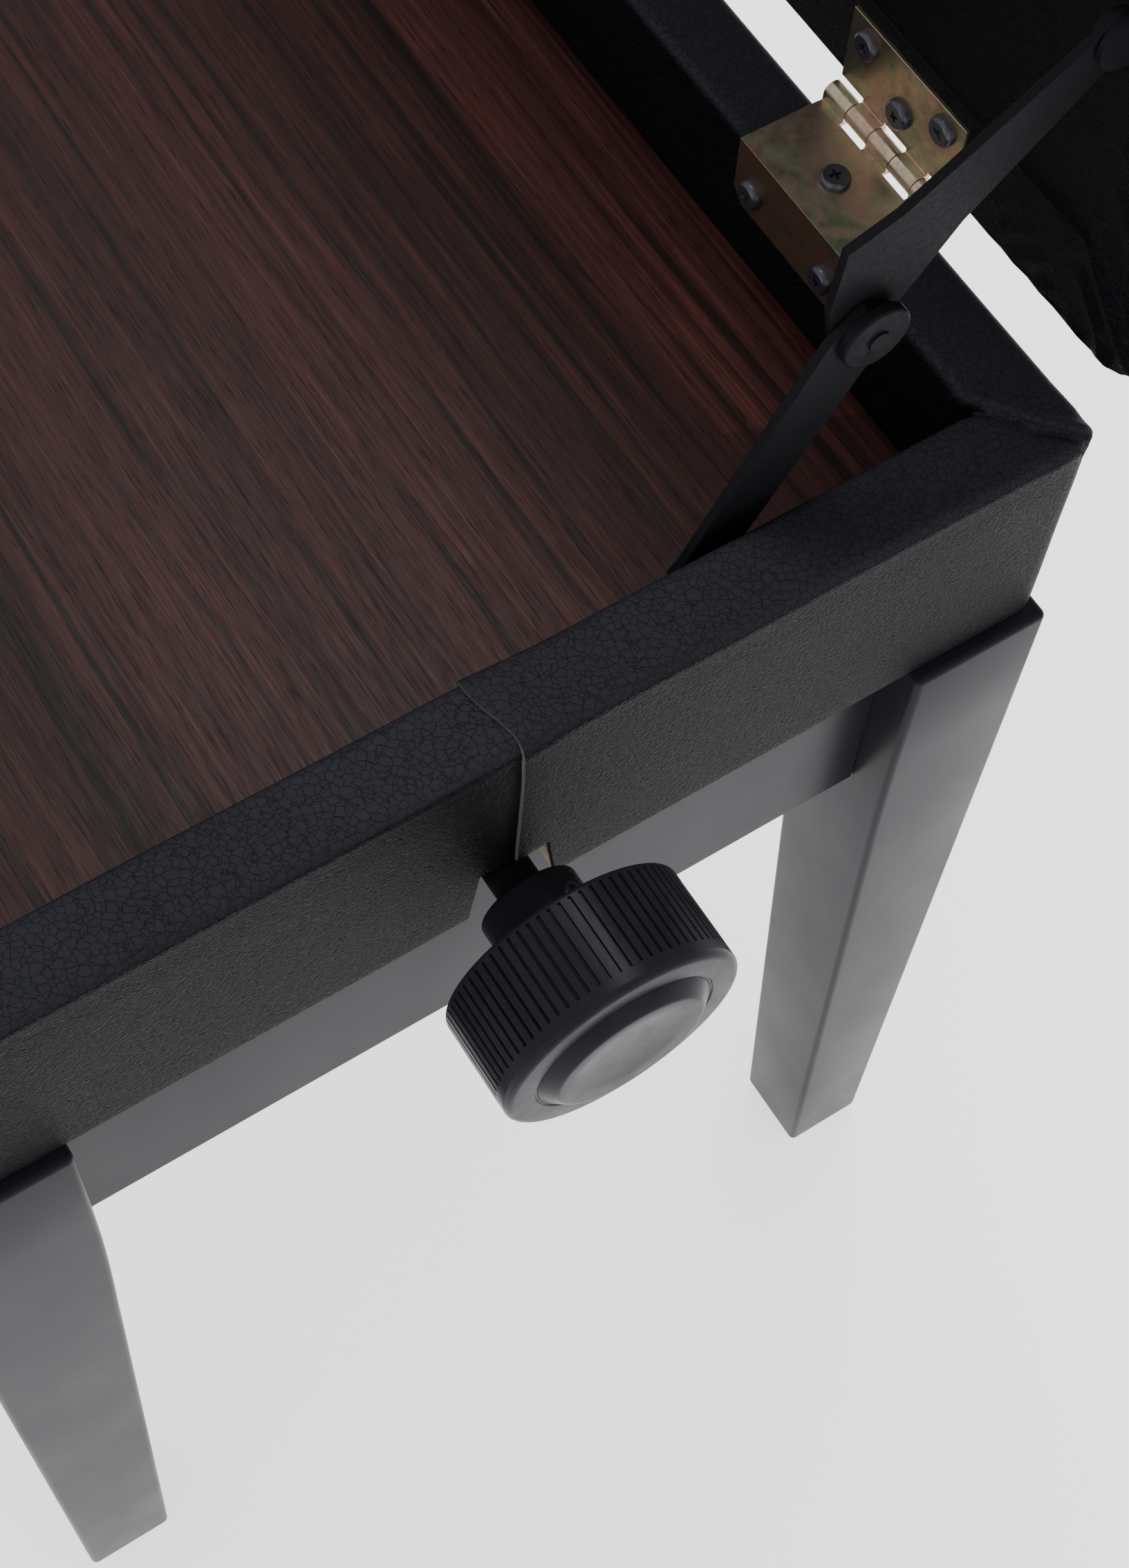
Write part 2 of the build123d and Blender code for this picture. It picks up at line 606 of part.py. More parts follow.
def hinge_leaf(first, bore):
    """Flat half of a right hinge, lying on the rim, with its knuckles."""
    end = HINGE_START + KNUCKLE * KNUCKLES
    edge = PIN_Y - KNUCKLE_RADIUS - SLOT_WIDTH
    leaf = block(HINGE_START, end, INNER_Y - LEAF, edge, RIM_TOP, RIM_TOP + LEAF)
    pieces, rings, hole = knuckle_ring(first, bore)
    for (x0, x1), ring in zip(pieces, rings):
        leaf += block(x0, x1, edge - 1, PIN_Y, RIM_TOP, RIM_TOP + LEAF)
        leaf += block(x0, x1, PIN_Y - KNUCKLE_RADIUS, PIN_Y, RIM_TOP, PIN_Z)
        leaf += ring
    return leaf - hole


def hinge_box_leaf():
    """Right box leaf with its flange down the inside of the wall."""
    end = HINGE_START + KNUCKLE * KNUCKLES
    flange = block(HINGE_START, end, INNER_Y - LEAF, INNER_Y, RIM_TOP - FLANGE_HEIGHT,
                   RIM_TOP + LEAF)
    corners = flange.edges().filter_by(Axis.Y).group_by(Axis.Z)[0]
    flange = chamfer(corners, 4.0)
    return hinge_leaf(0, HINGE_PIN_RADIUS) + flange


def hinge_lid_leaf():
    """Right lid leaf, drawn with the lid closed."""
    leaf = hinge_leaf(1, HINGE_PIN_RADIUS + RUNNING_FIT)
    return mirror(leaf, about=Plane(origin=(0, 0, PIN_Z), z_dir=(0, 0, 1)))


HINGE_MIDDLE = HINGE_START + KNUCKLE * KNUCKLES / 2
HINGE_SCREW_SPREAD = 15.2
RIM_SCREW_REACH = 11.3
FLANGE_SCREW_DROP = 12.5
LID_SCREWS_FAR = 20.8
LID_SCREW_NEAR = 11.6


def box_hinge_screws():
    """Screws of the right box leaf: one down through the rim, two into the wall."""
    top = placed(screw(16), (HINGE_MIDDLE, HALF_DEPTH - RIM_SCREW_REACH, RIM_TOP + LEAF), (0, 0, 1))
    side = [placed(screw(14), (x, INNER_Y - LEAF, RIM_TOP - FLANGE_SCREW_DROP), (0, -1, 0))
            for x in (HINGE_MIDDLE - HINGE_SCREW_SPREAD, HINGE_MIDDLE + HINGE_SCREW_SPREAD)]
    return [top, *side]


def lid_hinge_screws():
    """Screws of the right lid leaf, drawn with the lid closed."""
    face = LID_BOTTOM - LEAF
    places = [(HINGE_MIDDLE - HINGE_SCREW_SPREAD, PIN_Y - LID_SCREWS_FAR),
              (HINGE_MIDDLE, PIN_Y - LID_SCREW_NEAR),
              (HINGE_MIDDLE + HINGE_SCREW_SPREAD, PIN_Y - LID_SCREWS_FAR)]
    return [placed(screw(10), (x, y, face), (0, 0, -1)) for x, y in places]


def hinge_pin():
    """Pin of the right hinge."""
    end = HINGE_START + KNUCKLE * KNUCKLES
    return rod_x(HINGE_PIN_RADIUS, HINGE_START - 0.2, end + 0.2, PIN_Y, PIN_Z)


def build_box():
    """Storage box with its floor, lift rails, hinge leaves and stay studs."""
    rail_screws = upper_rail_screws()
    hinge_screws = box_hinge_screws()
    hinge_screws += [across(one) for one in hinge_screws]
    stud = stay_stud()
    studs = [stud, across(stud)]
    cover_cutters = [*hinge_screws, *studs]
    save("upper_rail_screws", *rail_screws)
    save("box_hinge_screws", *hinge_screws)
    save("stay_studs", *studs)
    save("box_cover", box_cover().cut(*cover_cutters).solid())
    walls = {
        "wall_rear": long_wall(), "wall_front": behind(long_wall()),
        "wall_right": end_wall(), "wall_left": across(end_wall()),
    }
    for name, body in walls.items():
        save(name, body.cut(*cover_cutters).solid())
    save("storage_floor", floor_panel().cut(*rail_screws).solid())
    save("floor_cleats", floor_cleat(), behind(floor_cleat()))
    for name, rail in {"upper_rail_rear": upper_rail(),
                       "upper_rail_front": behind(upper_rail())}.items():
        save(name, rail.cut(*rail_screws).solid())
    leaf = hinge_box_leaf().cut(*hinge_screws).solid()
    save("hinge_box_leaf_right", leaf)
    save("hinge_box_leaf_left", across(leaf))
    save("hinge_pins", hinge_pin(), across(hinge_pin()))


# ---------------------------------------------------------------- stays

LOWER_ARM_X = INNER_X - 7.1
UPPER_ARM_X = LOWER_ARM_X - STAY_GAP - STAY_THICKNESS
DISC_X = LOWER_ARM_X + STAY_THICKNESS
DISC_THICKNESS = 2.8
STUD_RADIUS = 3.0


def stay_stud():
    """Right shoulder stud that carries the lower stay arm on the end wall."""
    y, z = STAY_WALL_PIVOT
    shank = rod_x(STUD_RADIUS, LOWER_ARM_X - 0.2, INNER_X + 14, y, z)
    spacer = rod_x(6.0, DISC_X + 0.3, INNER_X, y, z)
    head = rod_x(5.0, LOWER_ARM_X - 0.2 - 1.8, LOWER_ARM_X - 0.2, y, z)
    return shank + spacer + head


def offset_from(pivot, direction, along, side):
    """Point at a distance along a direction and to its left, seen along -X."""
    dy, dz = direction
    return (pivot[0] + dy * along - dz * side, pivot[1] + dz * along + dy * side)


def unit(start, end):
    """Unit vector between two (Y, Z) points."""
    length = hypot(end[0] - start[0], end[1] - start[1])
    return ((end[0] - start[0]) / length, (end[1] - start[1]) / length)


def stay_lower_arm():
    """Right lower arm, waisted where it meets the middle disc."""
    start, middle = STAY_WALL_PIVOT, STAY_MIDDLE_PIVOT
    along = unit(start, middle)
    half = STAY_WIDTH / 2
    reach = hypot(middle[0] - start[0], middle[1] - start[1])
    outline = [
        offset_from(start, along, 0, half), offset_from(start, along, reach - 4, half + 3.0),
        offset_from(start, along, reach + 6.5, half - 1.0),
        offset_from(start, along, reach + 6.5, -half + 4.0),
        offset_from(start, along, reach - 9, -half), offset_from(start, along, 0, -half),
    ]
    x0, x1 = LOWER_ARM_X, LOWER_ARM_X + STAY_THICKNESS
    arm = plate_x(outline, x0, x1) + rod_x(half, x0, x1, *start)
    return arm - rod_x(STUD_RADIUS + RUNNING_FIT, x0 - 1, x1 + 1, *start)


def stay_disc():
    """Right boss disc with its rivet head, over the middle pivot of the stay."""
    y, z = STAY_MIDDLE_PIVOT
    disc = rod_x(STAY_DISC_RADIUS, DISC_X, DISC_X + DISC_THICKNESS, y, z)
    disc = fillet(disc.edges().group_by(Axis.X)[-1], 1.0)
    rivet = rod_x(2.7, DISC_X + DISC_THICKNESS - 0.5, DISC_X + DISC_THICKNESS + 0.7, y, z)
    return disc + rivet


def stay_upper_arm():
    """Right upper arm, broad at the middle pivot and narrow at the lid."""
    middle, end = STAY_MIDDLE_PIVOT, STAY_LID_PIVOT
    along = unit(middle, end)
    reach = hypot(end[0] - middle[0], end[1] - middle[1])
    outline = [
        offset_from(middle, along, -8, 3), offset_from(middle, along, 0, 14),
        offset_from(middle, along, 14.7, 25.5), offset_from(middle, along, 27, 19),
        offset_from(middle, along, reach, 6), offset_from(middle, along, reach, -6),
        offset_from(middle, along, 30, -3), offset_from(middle, along, 8, -6),
        offset_from(middle, along, -5, -6),
    ]
    x0, x1 = UPPER_ARM_X, UPPER_ARM_X + STAY_THICKNESS
    arm = plate_x(outline, x0, x1) + rod_x(6.0, x0, x1, *end)
    return arm - rod_x(STUD_RADIUS + RUNNING_FIT, x0 - 1, x1 + 1, *end)


STAY_FLANGE = 2.0
LID_FACE_OPEN = PIN_Y + LID_BOTTOM - PIN_Z


def stay_bracket():
    """Right bracket on the lid that carries the upper stay arm, with its pivot pin."""
    y, z = STAY_LID_PIVOT
    x0 = UPPER_ARM_X + STAY_THICKNESS + STAY_GAP
    flange = block(x0, x0 + STAY_FLANGE, y, LID_FACE_OPEN, z - 7, z + 7)
    flange += rod_x(7.0, x0, x0 + STAY_FLANGE, y, z)
    foot = block(x0 - 16, x0 + STAY_FLANGE, LID_FACE_OPEN - STAY_FLANGE, LID_FACE_OPEN,
                 z - 7, z + 27)
    foot -= block(x0 - 20, x0, LID_FACE_OPEN - 5, LID_FACE_OPEN + 1, z - 8, z + 8.5)
    pin = rod_x(STUD_RADIUS, UPPER_ARM_X - 0.2, x0 + STAY_FLANGE, y, z)
    head = rod_x(4.6, UPPER_ARM_X - 1.8, UPPER_ARM_X - 0.2, y, z)
    return flange + foot + pin + head


def stay_bracket_screw():
    """Right screw of the stay bracket."""
    z = STAY_LID_PIVOT[1] + 18
    return placed(screw(12), (UPPER_ARM_X - 5, LID_FACE_OPEN - STAY_FLANGE, z), (0, -1, 0))


def build_stays():
    """Both folding lid stays."""
    for side, turn in (("right", lambda body: body), ("left", across)):
        save(f"stay_lower_arm_{side}", turn(stay_lower_arm()))
        save(f"stay_disc_{side}", turn(stay_disc()))
        save(f"stay_upper_arm_{side}", turn(stay_upper_arm()))


# ---------------------------------------------------------------- lid

BUMPER_HEIGHT = LID_CLOSED_GAP - 0.3


def lid_block(margin, z0, z1):
    """Closed lid layer, inset by a margin all round."""
    x, y = LID_HALF_LENGTH - margin, LID_HALF_DEPTH - margin
    return block(-x, x, -y, y, z0, z1)


def seat_cover():
    """Padded leatherette cover, drawn closed: sides, top and the border folded underneath."""
    outer = lid_block(0, LID_BOTTOM, LID_BOTTOM + LID_THICKNESS)
    outer = fillet(outer.edges().filter_by(Axis.Z), LID_EDGE)
    outer = fillet(outer.edges().group_by(Axis.Z)[-1], LID_EDGE - 2)
    filling = lid_block(COVER, LID_BOTTOM + LINING, LID_BOTTOM + LID_THICKNESS - COVER)
    filling = fillet(filling.edges().filter_by(Axis.Z), LID_EDGE - COVER)
    filling = fillet(filling.edges().group_by(Axis.Z)[-1], LID_EDGE - 2 - COVER)
    opening = lid_block(BORDER, LID_BOTTOM - 1, LID_BOTTOM + 2)
    return outer - filling - opening


def seat_board():
    """Plywood seat board, drawn closed."""
    board = lid_block(COVER, LID_BOTTOM + LINING, LID_BOTTOM + LINING + LID_BOARD)
    return fillet(board.edges().filter_by(Axis.Z), LID_EDGE - COVER)


def seat_foam():
    """Foam on the seat board, drawn closed."""
    foam = lid_block(COVER, LID_BOTTOM + LINING + LID_BOARD, LID_BOTTOM + LID_THICKNESS - COVER)
    foam = fillet(foam.edges().filter_by(Axis.Z), LID_EDGE - COVER)
    return fillet(foam.edges().group_by(Axis.Z)[-1], LID_EDGE - 2 - COVER)


def bumper():
    """Front right rubber bumper that meets the box rim, drawn closed."""
    x, y = HALF_LENGTH - 12, -HALF_DEPTH + 12
    pad = rod_z(6.0, LID_BOTTOM - BUMPER_HEIGHT, LID_BOTTOM, x, y)
    return fillet(pad.edges().group_by(Axis.Z)[0], 1.5)


def build_lid():
    """Padded lid with its hinge leaves and stay brackets, stored open."""
    hinge_screws = [opened(one) for one in lid_hinge_screws()]
    hinge_screws += [across(one) for one in hinge_screws]
    bracket_screws = [stay_bracket_screw(), across(stay_bracket_screw())]
    screws = [*hinge_screws, *bracket_screws]
    save("lid_screws", *screws)
    save("seat_cover", opened(seat_cover()).cut(*screws).solid())
    save("seat_board", opened(seat_board()).cut(*screws).solid())
    save("seat_foam", opened(seat_foam()))
    lining = opened(lid_block(BORDER, LID_BOTTOM, LID_BOTTOM + LINING))
    save("lid_lining", lining.cut(*screws).solid())
    leaf = opened(hinge_lid_leaf()).cut(*hinge_screws).solid()
    save("hinge_lid_leaf_right", leaf)
    save("hinge_lid_leaf_left", across(leaf))
    bracket = stay_bracket().cut(*bracket_screws).solid()
    save("stay_brackets", bracket, across(bracket))
    pad = opened(bumper())
    save("lid_bumpers", pad, across(pad))


os.makedirs("parts", exist_ok=True)
build_base()
build_spindle()
build_scissors()
build_box()
build_stays()
build_lid()
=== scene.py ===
"""Builds the look of a height-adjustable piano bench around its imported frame.

Everything is in metres in the frame's own axes: X along the bench, +Y towards the lid hinges,
Z up. Each operator makes one piece or one group of like pieces from the sizes below.
"""
import json
import math

import bmesh
import bpy
from mathutils import Matrix, Vector, noise


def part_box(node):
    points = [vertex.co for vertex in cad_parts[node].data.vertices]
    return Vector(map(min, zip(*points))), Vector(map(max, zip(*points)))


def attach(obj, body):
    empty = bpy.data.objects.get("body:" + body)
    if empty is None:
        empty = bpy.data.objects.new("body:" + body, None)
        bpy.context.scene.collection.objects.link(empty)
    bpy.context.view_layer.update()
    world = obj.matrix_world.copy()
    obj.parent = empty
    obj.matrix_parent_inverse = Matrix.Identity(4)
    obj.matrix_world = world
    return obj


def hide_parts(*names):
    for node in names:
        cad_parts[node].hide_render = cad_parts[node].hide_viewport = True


bl_info = {
    "name": "Piano Bench",
    "version": (1, 0, 0),
    "blender": (4, 5, 0),
    "location": "View3D > Sidebar > Bench",
    "description": "Builds a height-adjustable piano bench with a storage box and a padded lid",
    "category": "Add Mesh",
}

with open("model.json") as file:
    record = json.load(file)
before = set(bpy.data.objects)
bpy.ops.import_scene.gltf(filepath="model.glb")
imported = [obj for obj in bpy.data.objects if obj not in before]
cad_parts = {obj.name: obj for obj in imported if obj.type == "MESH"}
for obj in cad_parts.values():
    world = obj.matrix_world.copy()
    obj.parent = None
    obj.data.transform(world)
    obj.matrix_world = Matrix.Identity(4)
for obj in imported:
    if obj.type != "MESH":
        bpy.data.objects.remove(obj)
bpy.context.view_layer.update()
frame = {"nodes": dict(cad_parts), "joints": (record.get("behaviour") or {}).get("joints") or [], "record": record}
MM = 0.001
COVER_SKIN = 2.25 * MM
ENDS = {"right": 1, "left": -1}
JOINTS = {joint["name"]: joint for joint in frame["joints"]}
COVER_LOW, COVER_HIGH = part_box("box_cover")
MIDDLE_Y = (COVER_LOW.y + COVER_HIGH.y) / 2
SPINDLE_Z = JOINTS["spindle_turn"]["pos_m"][2]
LID_PIN = Vector(JOINTS["lid_hinge"]["pos_m"])


# ---------------------------------------------------------------- settings

def colour(name, text, value):
    """Colour property with a default."""
    return bpy.props.FloatVectorProperty(
        name=name, description=text, default=value, size=3, subtype="COLOR", min=0, max=1,
    )


def length(name, text, value):
    """Length property with a default, in metres."""
    return bpy.props.FloatProperty(
        name=name, description=text, default=value, min=0, unit="LENGTH", precision=4,
    )


class BenchColours(bpy.types.PropertyGroup):
    """Colours of the finishes."""
    leather: colour("Leatherette", "Leatherette on the box and the seat", (0.0085, 0.0085, 0.0105))
    lacquer: colour("Lacquer", "Lacquer on the legs and aprons", (0.010, 0.009, 0.012))
    laminate_dark: colour("Laminate dark", "Dark streaks of the storage floor",
                          (0.004, 0.0015, 0.0015))
    laminate_light: colour("Laminate light", "Light streaks of the storage floor",
                           (0.048, 0.0135, 0.0105))
    zinc: colour("Yellow zinc", "Plating of the hinges", (0.42, 0.37, 0.265))
    steel: colour("Steel", "Bright zinc-plated steel", (0.58, 0.59, 0.60))
    black: colour("Black coating", "Coated steel plates", (0.008, 0.008, 0.0095))
    plastic: colour("Knob plastic", "Moulded knobs", (0.011, 0.011, 0.0135))
    board: colour("Board", "Bare edges of the boards", (0.42, 0.30, 0.18))
    floor: colour("Floor", "Studio floor", (0.88, 0.88, 0.88))


class BenchSizes(bpy.types.PropertyGroup):
    """Sizes that the CAD frame leaves to the finish."""
    grain: length("Leather grain", "Width of one pebble of the leatherette", 2.4 * MM)
    rim_roll: length("Rim roll", "Radius of the rolled edges of the rim", 3.2 * MM)
    seam_lip: length("Seam lip", "Height of the overlap where the cover's ends meet", 0.9 * MM)
    leg_round: length("Leg edge", "Rounding of the legs' long edges", 2.0 * MM)
    knob_grooves: bpy.props.IntProperty(
        name="Knob grooves", description="Grooves around one knob", default=72, min=12, max=120,
    )
    groove_depth: length("Groove depth", "Depth of the knob's grooves", 0.85 * MM)
    seat_swell: length("Seat swell", "How far the padding may push the cover", 5.0 * MM)
    plate_edge: length("Plate edge", "Bevel on the edges of sheet steel", 0.25 * MM)


def settings():
    """The scene's own colours and sizes."""
    scene = bpy.context.scene
    return scene.bench_colours, scene.bench_sizes


# ---------------------------------------------------------------- materials

class Finish:
    """A material with a principled shader, and short ways to add its nodes."""

    def __init__(self, name, base, roughness, metallic=0.0, **sockets):
        self.material = bpy.data.materials.new(name)
        self.material.use_nodes = True
        self.tree = self.material.node_tree
        self.shader = self.tree.nodes["Principled BSDF"]
        self.shader.inputs["Base Color"].default_value = (*base, 1)
        self.shader.inputs["Roughness"].default_value = roughness
        self.shader.inputs["Metallic"].default_value = metallic
        for socket, value in sockets.items():
            self.shader.inputs[socket.replace("_", " ")].default_value = value
        self.place = self.add("ShaderNodeTexCoord").outputs["Object"]

    def add(self, kind, links=None, values=None, **attributes):
        """New node with its attributes, linked inputs and fixed inputs."""
        made = self.tree.nodes.new(kind)
        for key, value in attributes.items():
            setattr(made, key, value)
        for socket, value in (values or {}).items():
            made.inputs[socket].default_value = value
        for socket, source in (links or {}).items():
            self.tree.links.new(source, made.inputs[socket])
        return made

    def scaled(self, x, y, z):
        """Object coordinates stretched by three factors."""
        return self.add("ShaderNodeMapping", {"Vector": self.place},
                        {"Scale": (x, y, z)}).outputs["Vector"]

    def noise(self, vector, scale, detail=4.0, rough=0.55, distortion=0.0):
        """Noise value at a scale."""
        values = {"Scale": scale, "Detail": detail, "Roughness": rough, "Distortion": distortion}
        return self.add("ShaderNodeTexNoise", {"Vector": vector}, values).outputs["Fac"]

    def ramp(self, source, stops, interpolation="LINEAR"):
        """Colour ramp through (place, grey or colour) stops."""
        made = self.add("ShaderNodeValToRGB", {"Fac": source})
        ramp = made.color_ramp
        ramp.interpolation = interpolation
        while len(ramp.elements) < len(stops):
            ramp.elements.new(0.5)
        for element, (place, value) in zip(ramp.elements, stops):
            element.position = place
            tint = (value,) * 3 if isinstance(value, float) else value
            element.color = (*tint, 1)
        return made.outputs["Color"]

    def math(self, operation, first, second):
        """Math on two sockets or numbers."""
        made = self.add("ShaderNodeMath", operation=operation)
        for index, value in enumerate((first, second)):
            if isinstance(value, (int, float)):
                made.inputs[index].default_value = value
            else:
                self.tree.links.new(value, made.inputs[index])
        return made.outputs["Value"]

    def mix(self, factor, first, second, blend="MIX"):
        """Blend of two colours."""
        made = self.add("ShaderNodeMix", data_type="RGBA", blend_type=blend)
        for socket, value in ((0, factor), (6, first), (7, second)):
            if hasattr(value, "is_linked"):
                self.tree.links.new(value, made.inputs[socket])
            else:
                made.inputs[socket].default_value = value if socket == 0 else (*value, 1)
        return made.outputs[2]

    def bump(self, height, distance, strength=1.0, under=None):
        """Bump from a height, on top of another bump if one is given."""
        links = {"Height": height}
        if under:
            links["Normal"] = under
        return self.add("ShaderNodeBump", links,
                        {"Distance": distance, "Strength": strength}).outputs["Normal"]

    def wire(self, socket, source):
        """Link a source to a socket of the shader."""
        self.tree.links.new(source, self.shader.inputs[socket])


def stretched(colour_value, factor):
    """A colour made lighter or darker."""
    return tuple(min(1.0, part * factor) for part in colour_value)


def crackle(finish, vector, cell, line, depth=1.0):
    """Flat pebbles with thin creases of some depth between them, as a height up to 1."""
    warp = finish.noise(vector, 1.1 / cell, 2)
    shift = finish.add("ShaderNodeVectorMath", {0: warp}, {1: (cell, cell, cell)},
                       operation="MULTIPLY")
    moved = finish.add("ShaderNodeVectorMath", {0: vector, 1: shift.outputs[0]}, operation="ADD")
    cells = finish.add("ShaderNodeTexVoronoi", {"Vector": moved.outputs[0]},
                       {"Scale": 1 / cell, "Randomness": 0.9}, feature="DISTANCE_TO_EDGE")
    stops = [(0.0, 1 - depth), (line, 1 - 0.2 * depth), (0.45, 1.0)]
    return finish.ramp(cells.outputs["Distance"], stops, "EASE")


def leather_finish(name, base, grain):
    """Leatherette: broad flat pebbles where it lies level, fine long ones down the walls, with painted light:
    faces lying level are painted lighter as a painted highlight, upright faces and the creases darker as painted
    shade.
    """
    finish = Finish(name, base, 0.5, IOR=1.12)
    broad = crackle(finish, finish.place, grain * 0.9, 0.04, 0.55)
    across = crackle(finish, finish.scaled(1.0, 1.0, 2.2), grain * 0.8, 0.20)
    facing = finish.add("ShaderNodeNewGeometry").outputs["Normal"]
    upward = finish.add("ShaderNodeSeparateXYZ", {"Vector": facing}).outputs["Z"]
    level = finish.ramp(finish.math("ABSOLUTE", upward, 0.0), [(0.35, 0.0), (0.8, 1.0)])
    creases = finish.mix(level, across, broad)
    fine = finish.noise(finish.scaled(1, 1, 1.6), 2.6 / grain, 5, 0.6)
    slow = finish.noise(finish.place, 14, 3)
    waves = finish.bump(slow, 4 * MM, 0.3)
    pores = finish.bump(fine, 0.16 * MM, 0.5, waves)
    finish.wire("Normal", finish.bump(creases, 0.34 * MM, 1.0, pores))
    # Painted light by facing: upright faces get the darker wall tone (painted shade), faces lying level the
    # lighter rim tone (painted highlight); the slow noise varies the tone at random.
    walls = finish.mix(slow, stretched(base, 0.7), stretched(base, 1.2))
    rim = finish.mix(slow, stretched(base, 1.7), stretched(base, 2.9))
    tone = finish.mix(level, walls, rim)
    # Painted shade: the creases between the pebbles are painted darker than the pebbles.
    crease_shade = finish.mix(level, stretched(base, 0.3), stretched(base, 1.0))
    finish.wire("Base Color", finish.mix(creases, crease_shade, tone))
    finish.wire("Roughness", finish.ramp(fine, [(0.25, 0.40), (0.8, 0.58)]))
    return finish.material


def lacquer_finish(name, base):
    """Satin lacquer with faint wiping marks and grain under it."""
    finish = Finish(name, base, 0.3, IOR=1.135)
    clouds = finish.noise(finish.scaled(1, 1, 0.7), 22, 4, 0.6)
    specks = finish.noise(finish.place, 900, 2)
    finish.wire("Roughness", finish.ramp(clouds, [(0.3, 0.26), (0.7, 0.36)]))
    grain = finish.noise(finish.scaled(60, 60, 6), 6, 4)
    skin = finish.bump(grain, 0.05 * MM, 0.25)
    finish.wire("Normal", finish.bump(specks, 0.02 * MM, 0.25, skin))
    finish.wire("Base Color", finish.mix(clouds, stretched(base, 0.8), stretched(base, 1.5)))
    return finish.material


def laminate_finish(name, dark, light):
    """Rosewood-pattern laminate: strips of differing tone with dark lines and short pores."""
    finish = Finish(name, light, 0.45, IOR=1.25)
    bend = finish.noise(finish.scaled(1.6, 6, 1), 1.5, 2)
    shift = finish.add("ShaderNodeVectorMath", {0: bend}, {1: (0.0, 0.012, 0.0)},
                       operation="MULTIPLY")
    wavy = finish.add("ShaderNodeVectorMath", {0: finish.place, 1: shift.outputs[0]},
                      operation="ADD").outputs[0]

    def grain(x, y, scale, detail, rough):
        """Noise drawn out along the grain."""
        mapped = finish.add("ShaderNodeMapping", {"Vector": wavy}, {"Scale": (x, y, 1)})
        return finish.noise(mapped.outputs["Vector"], scale, detail, rough)

    strips = finish.add("ShaderNodeTexVoronoi", {
        "Vector": finish.add("ShaderNodeMapping", {"Vector": wavy},
                             {"Scale": (0.9, 24, 1)}).outputs["Vector"]}, {"Scale": 1.0})
    strip = finish.add("ShaderNodeSeparateColor", {"Color": strips.outputs["Color"]})
    bands = grain(1.3, 34, 1.6, 3, 0.55)
    tone = finish.math("ADD", finish.math("MULTIPLY", strip.outputs["Red"], 0.45),
                       finish.math("MULTIPLY", bands, 0.55))
    base = finish.ramp(tone, [(0.20, stretched(light, 0.28)), (0.45, stretched(light, 0.62)),
                              (0.62, stretched(light, 0.85)), (0.80, stretched(light, 1.2))])
    lines = finish.ramp(grain(2.2, 150, 2.0, 3, 0.5), [(0.36, 0.16), (0.45, 0.85), (0.60, 1.15)])
    fibres = finish.ramp(grain(14, 620, 1.5, 3, 0.65), [(0.34, 0.50), (0.54, 1.0), (0.70, 1.9)])
    pores = grain(60, 1500, 1.4, 2, 0.7)
    lined = finish.mix(0.85, base, lines, "MULTIPLY")
    fibred = finish.mix(0.8, lined, fibres, "MULTIPLY")
    flecks = finish.ramp(pores, [(0.30, 0.0), (0.42, 1.0)])
    finish.wire("Base Color", finish.mix(flecks, dark, fibred))
    finish.wire("Roughness", finish.ramp(pores, [(0.35, 0.55), (0.7, 0.40)]))
    finish.wire("Normal", finish.bump(pores, 0.06 * MM, 0.5))
    return finish.material


def zinc_finish(name, base):
    """Yellow passivated zinc with cloudy green, rose and grey tints."""
    finish = Finish(name, base, 0.34, 1.0)
    clouds = finish.noise(finish.place, 55, 3, 0.5, 1.2)
    tint = finish.ramp(clouds, [
        (0.28, (base[0] * 0.62, base[1] * 0.80, base[2] * 0.78)), (0.42, tuple(base)),
        (0.52, (base[0] * 1.05, base[1] * 0.84, base[2] * 0.92)),
        (0.62, (base[0] * 0.82, base[1] * 1.0, base[2] * 0.86)),
        (0.76, (base[0] * 1.15, base[1] * 1.10, base[2] * 1.25)),
    ])
    smudges = finish.noise(finish.place, 240, 5, 0.7)
    stain = finish.ramp(smudges, [(0.30, 0.62), (0.52, 1.0), (0.75, 1.2)])
    finish.wire("Base Color", finish.mix(0.8, tint, stain, "MULTIPLY"))
    finish.wire("Roughness", finish.ramp(smudges, [(0.3, 0.42), (0.7, 0.26)]))
    finish.wire("Normal", finish.bump(smudges, 0.03 * MM, 0.4))
    return finish.material


def metal_finish(name, base, roughness, metallic, scratch=0.04):
    """Plated or coated steel with fine drawn marks."""
    finish = Finish(name, base, roughness, metallic, IOR=1.10)
    marks = finish.noise(finish.scaled(1, 8, 8), 90, 4)
    clouds = finish.noise(finish.place, 60, 3)
    finish.wire("Roughness", finish.ramp(marks, [(0.3, roughness * 0.8), (0.7, roughness * 1.3)]))
    finish.wire("Base Color", finish.mix(clouds, stretched(base, 0.75), stretched(base, 1.3)))
    finish.wire("Normal", finish.bump(marks, scratch * MM, 0.4))
    return finish.material


def plastic_finish(name, base, roughness):
    """Moulded plastic with a fine spark texture and handling marks."""
    finish = Finish(name, base, roughness, IOR=1.14)
    spark = finish.noise(finish.place, 2600, 2)
    wear = finish.noise(finish.place, 130, 4, 0.65)
    finish.wire("Roughness", finish.ramp(wear, [(0.35, roughness * 0.85),
                                                (0.75, roughness * 1.35)]))
    finish.wire("Base Color", finish.mix(wear, base, stretched(base, 1.6)))
    finish.wire("Normal", finish.bump(spark, 0.015 * MM, 0.5))
    return finish.material


